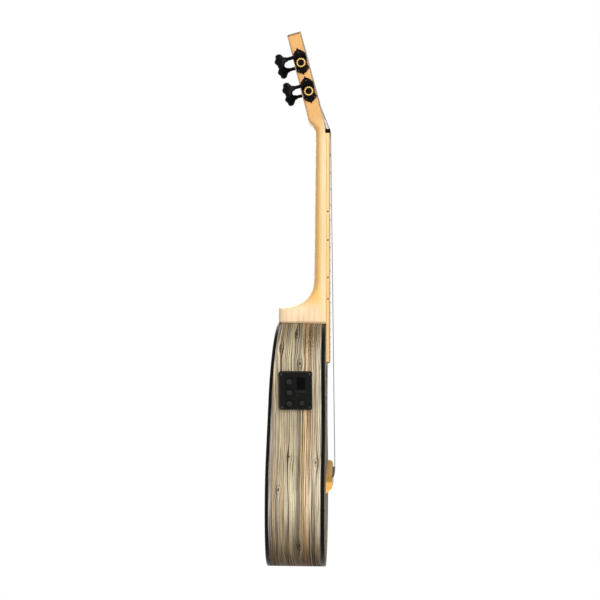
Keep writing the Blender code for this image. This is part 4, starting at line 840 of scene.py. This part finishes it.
def reach(node):
    """How far a node's solid reaches from the centre plane."""
    return max(abs(vert.co.x) for vert in NODES[node].data.vertices)


def make_tuner_details():
    """Each tuner's plate screws and shaft sleeve, and its gear's washer and screw slot."""
    screws = bmesh.new()
    for number in TUNERS:
        for behind, along in PLATE_SCREWS:
            seat = on_tuner(number, PLATE_FACE, behind, along)
            disc(screws, PLATE_SCREW_RADIUS, PLATE_SCREW_TALL, seat, 16, 0.7)

        worm = JOINTS[f"worm_{number}_spin"]
        axis = Vector(worm["axis"])
        start = facing(Vector(worm["pos_m"]) + axis * SLEEVE_FROM, axis, TO_TREBLE)
        sleeve = bmesh.new()
        disc(sleeve, SLEEVE_RADIUS, SLEEVE_LONG, start, 28)
        piece(sleeve, f"shaft_sleeve_{number}", f"worm_{number}", PLATING, bevel=0.0002)

        washer = bmesh.new()
        gear_face = on_tuner(number, reach(f"gear_{number}"))
        disc(washer, WASHER_RADIUS, WASHER_THICK, gear_face, 32, 0.94)
        piece(washer, f"gear_washer_{number}", f"roller_{number}", PLATING)
        slot = bmesh.new()
        tip = reach(f"string_roller_{number}") - GEAR_SLOT_SUNK
        bar(slot, GEAR_SLOT, on_tuner(number, tip))
        piece(slot, f"gear_screw_slot_{number}", f"roller_{number}", SHELL)
    piece(screws, "plate_screws", "instrument", SCREW_BLACK, bevel=0.0001)


def panel_axes():
    """The directions out of the preamp panel and up it."""
    out = Vector(JOINTS["volume_turn"]["axis"])
    return out, Vector((out.z, 0.0, -out.x))


def panel_place():
    """The preamp panel's outer face: its frame, and half its width and height."""
    out, up = panel_axes()
    turn = facing(Vector(), out, up)
    points = [turn.inverted() @ vert.co for vert in NODES["preamp_panel"].data.vertices]
    low = [min(point[i] for point in points) for i in range(3)]
    high = [max(point[i] for point in points) for i in range(3)]
    middle = Vector(((low[0] + high[0]) / 2, (low[1] + high[1]) / 2, high[2]))
    return facing(turn @ middle, out, up), (high[0] - low[0]) / 2, (high[1] - low[1]) / 2


def make_corner_screws(panel, half_wide, half_tall):
    """Four screws with crossed slots."""
    heads, slots = bmesh.new(), bmesh.new()
    across, along = half_wide - CORNER_SCREW_INSET[0], half_tall - CORNER_SCREW_INSET[1]
    for x in (-across, across):
        for y in (-along, along):
            corner = moved(panel, x, y, 0.0)
            disc(heads, CORNER_SCREW_RADIUS, CORNER_SCREW_TALL, corner, 24, 0.85)
            top = moved(corner, 0.0, 0.0, CORNER_SCREW_TALL)
            for turn in CORNER_SLOT_TURNS:
                bar(slots, CORNER_SLOT, top @ Matrix.Rotation(turn, 4, "Z"))
    piece(heads, "panel_screws", "instrument", SCREW_BLACK, bevel=0.0001)
    piece(slots, "panel_screw_slots", "instrument", SHELL)


def make_panel_details():
    """The panel's corner screws, its light, the line under the display and the raised rib, whose
    grey is a painted highlight.
    """
    panel, half_wide, half_tall = panel_place()
    make_corner_screws(panel, half_wide, half_tall)
    light = bmesh.new()
    disc(light, LIGHT_RADIUS, LIGHT_TALL, moved(panel, *LIGHT_AT), 20, 0.7)
    piece(light, "signal_light", "instrument", LENS, bevel=0.0001, smooth_below=50)
    line = bmesh.new()
    bar(line, LINE, moved(panel, *LINE_AT))
    piece(line, "panel_line", "instrument", PANEL_LINE)

    # The rib's grey is a painted highlight along the panel's raised edges.
    rib = bmesh.new()
    wide, tall = half_wide - RIB_INSET, half_tall - RIB_INSET
    level = (2 * wide - RIB_SHORTER[0], RIB_WIDE, RIB_TALL)
    upright = (RIB_WIDE, 2 * tall - RIB_SHORTER[1], RIB_TALL)
    for end in (-1, 1):
        bar(rib, level, moved(panel, 0.0, end * tall, 0.0))
        bar(rib, upright, moved(panel, end * wide, 0.0, 0.0))
    piece(rib, "panel_rib", "instrument", HIGHLIGHT_GREY, bevel=0.00006)


def make_knob_details():
    """Each knob's ribbed skirt, the rim and cap on its end, the rim's grey ring a painted
    highlight, and its pale pointer.
    """
    out, up = panel_axes()
    for name in KNOBS:
        seat = facing(Vector(JOINTS[name + "_turn"]["pos_m"]), out, up)
        end = moved(seat, 0.0, 0.0, KNOB_TALL)
        grip = bmesh.new()
        disc(grip, KNOB_RADIUS, GRIP_TALL, moved(seat, 0.0, 0.0, GRIP_FROM), 48)
        for number, vert in enumerate(grip.verts):
            spot = seat.inverted() @ vert.co
            wider = GRIP_RIB if (number // 2) % 2 else GRIP_GROOVE
            vert.co = seat @ Vector((spot.x * wider, spot.y * wider, spot.z))
        piece(grip, name + "_grip", name, KNOB_BLACK, smooth_below=25)
        # The grey ring round each cap is a painted highlight on the knob's rim.
        rim = bmesh.new()
        disc(rim, RIM_RADIUS, RIM_THICK, end, 40)
        piece(rim, name + "_rim", name, HIGHLIGHT_GREY, smooth_below=25)
        cap = bmesh.new()
        disc(cap, CAP_RADIUS, CAP_THICK, end, 40)
        piece(cap, name + "_cap", name, KNOB_BLACK, smooth_below=25)
        pointer = bmesh.new()
        bar(pointer, POINTER, moved(end, 0.0, POINTER_AT, POINTER_LIFT))
        piece(pointer, name + "_pointer", name, PANEL_LINE)


def look():
    """The photograph's camera: level, beside the bass side and turned a little to the front."""
    camera = bpy.data.objects.new("camera", bpy.data.cameras.new("camera"))
    bpy.context.scene.collection.objects.link(camera)
    away = Vector((-math.cos(CAMERA_TURN), -math.sin(CAMERA_TURN), 0.0))
    camera.location = CAMERA_TARGET + away * CAMERA_AWAY
    camera.rotation_euler = (-away).to_track_quat("-Z", "Y").to_euler()
    camera.data.sensor_width = SENSOR_WIDE
    camera.data.lens = SENSOR_WIDE * LENS_PER_WIDTH
    camera.data.clip_start = 0.01
    camera.data.clip_end = 100.0
    bpy.context.scene.camera = camera


def lamp(name, place, size, power):
    """A soft rectangular lamp that points at the body."""
    light = bpy.data.lights.new(name, "AREA")
    light.shape = "RECTANGLE"
    light.size, light.size_y = size
    light.energy = power
    made = bpy.data.objects.new(name, light)
    bpy.context.scene.collection.objects.link(made)
    made.location = place
    made.rotation_euler = (LAMP_TARGET - Vector(place)).to_track_quat("-Z", "Y").to_euler()


def make_studio_air():
    """A world that is white to a direct look and gives a little light from all sides."""
    world = bpy.data.worlds.new("studio")
    bpy.context.scene.world = world
    world.use_nodes = True
    world.node_tree.nodes.clear()
    maker = NodeMaker(world.node_tree)
    kind = "ShaderNodeBackground"
    soft = maker.node(kind, {}, {"Strength": AIR_LIGHT, "Color": WHITE})
    white = maker.node(kind, {}, {"Strength": 1.0, "Color": WHITE})
    both = maker.node("ShaderNodeMixShader", {}, {0: maker.seen_directly(), 1: soft, 2: white})
    maker.node("ShaderNodeOutputWorld", {}, {"Surface": both})


def make_floor():
    """A plain pale floor, white to a direct look except for the object's shadow near it."""
    shape = bmesh.new()
    bmesh.ops.create_grid(shape, x_segments=1, y_segments=1, size=FLOOR_HALF)
    bmesh.ops.translate(shape, vec=(0.0, 0.0, FLOOR_AT), verts=shape.verts)
    mesh = bpy.data.meshes.new("floor")
    shape.to_mesh(mesh)
    shape.free()
    floor = bpy.data.objects.new("floor", mesh)
    bpy.context.scene.collection.objects.link(floor)

    finish = Finish("pale_floor", 0.9)
    direct = finish.seen_directly()
    finish.feed(Base_Color=finish.mix(direct, FLOOR_GREY, FLOOR_SEEN))
    x, y = finish.parts(finish.spot())[:2]
    near = (x * x + y * y).root().fade(*SHADOW_ROUND)
    share = direct * (1 - near * SHADOW_SHARE)
    surface = Signal(finish, finish.shader.outputs[0])
    white = finish.node("ShaderNodeEmission", {}, {"Strength": 1.0})
    both = finish.node("ShaderNodeMixShader", {}, {0: share, 1: surface, 2: white})
    output = finish.tree.nodes["Material Output"]
    finish.tree.links.new(both.socket, output.inputs["Surface"])
    mesh.materials.append(finish.material)


def light_the_studio():
    """The air, the floor and the lamps, shown in the plain view."""
    make_studio_air()
    make_floor()
    for name, place, size, power in LAMPS:
        lamp(name, place, size, power)
    bpy.context.scene.view_settings.view_transform = "Standard"


dress_nodes()
make_frets()
make_dots()
make_tuner_details()
make_panel_details()
make_knob_details()
look()
light_the_studio()
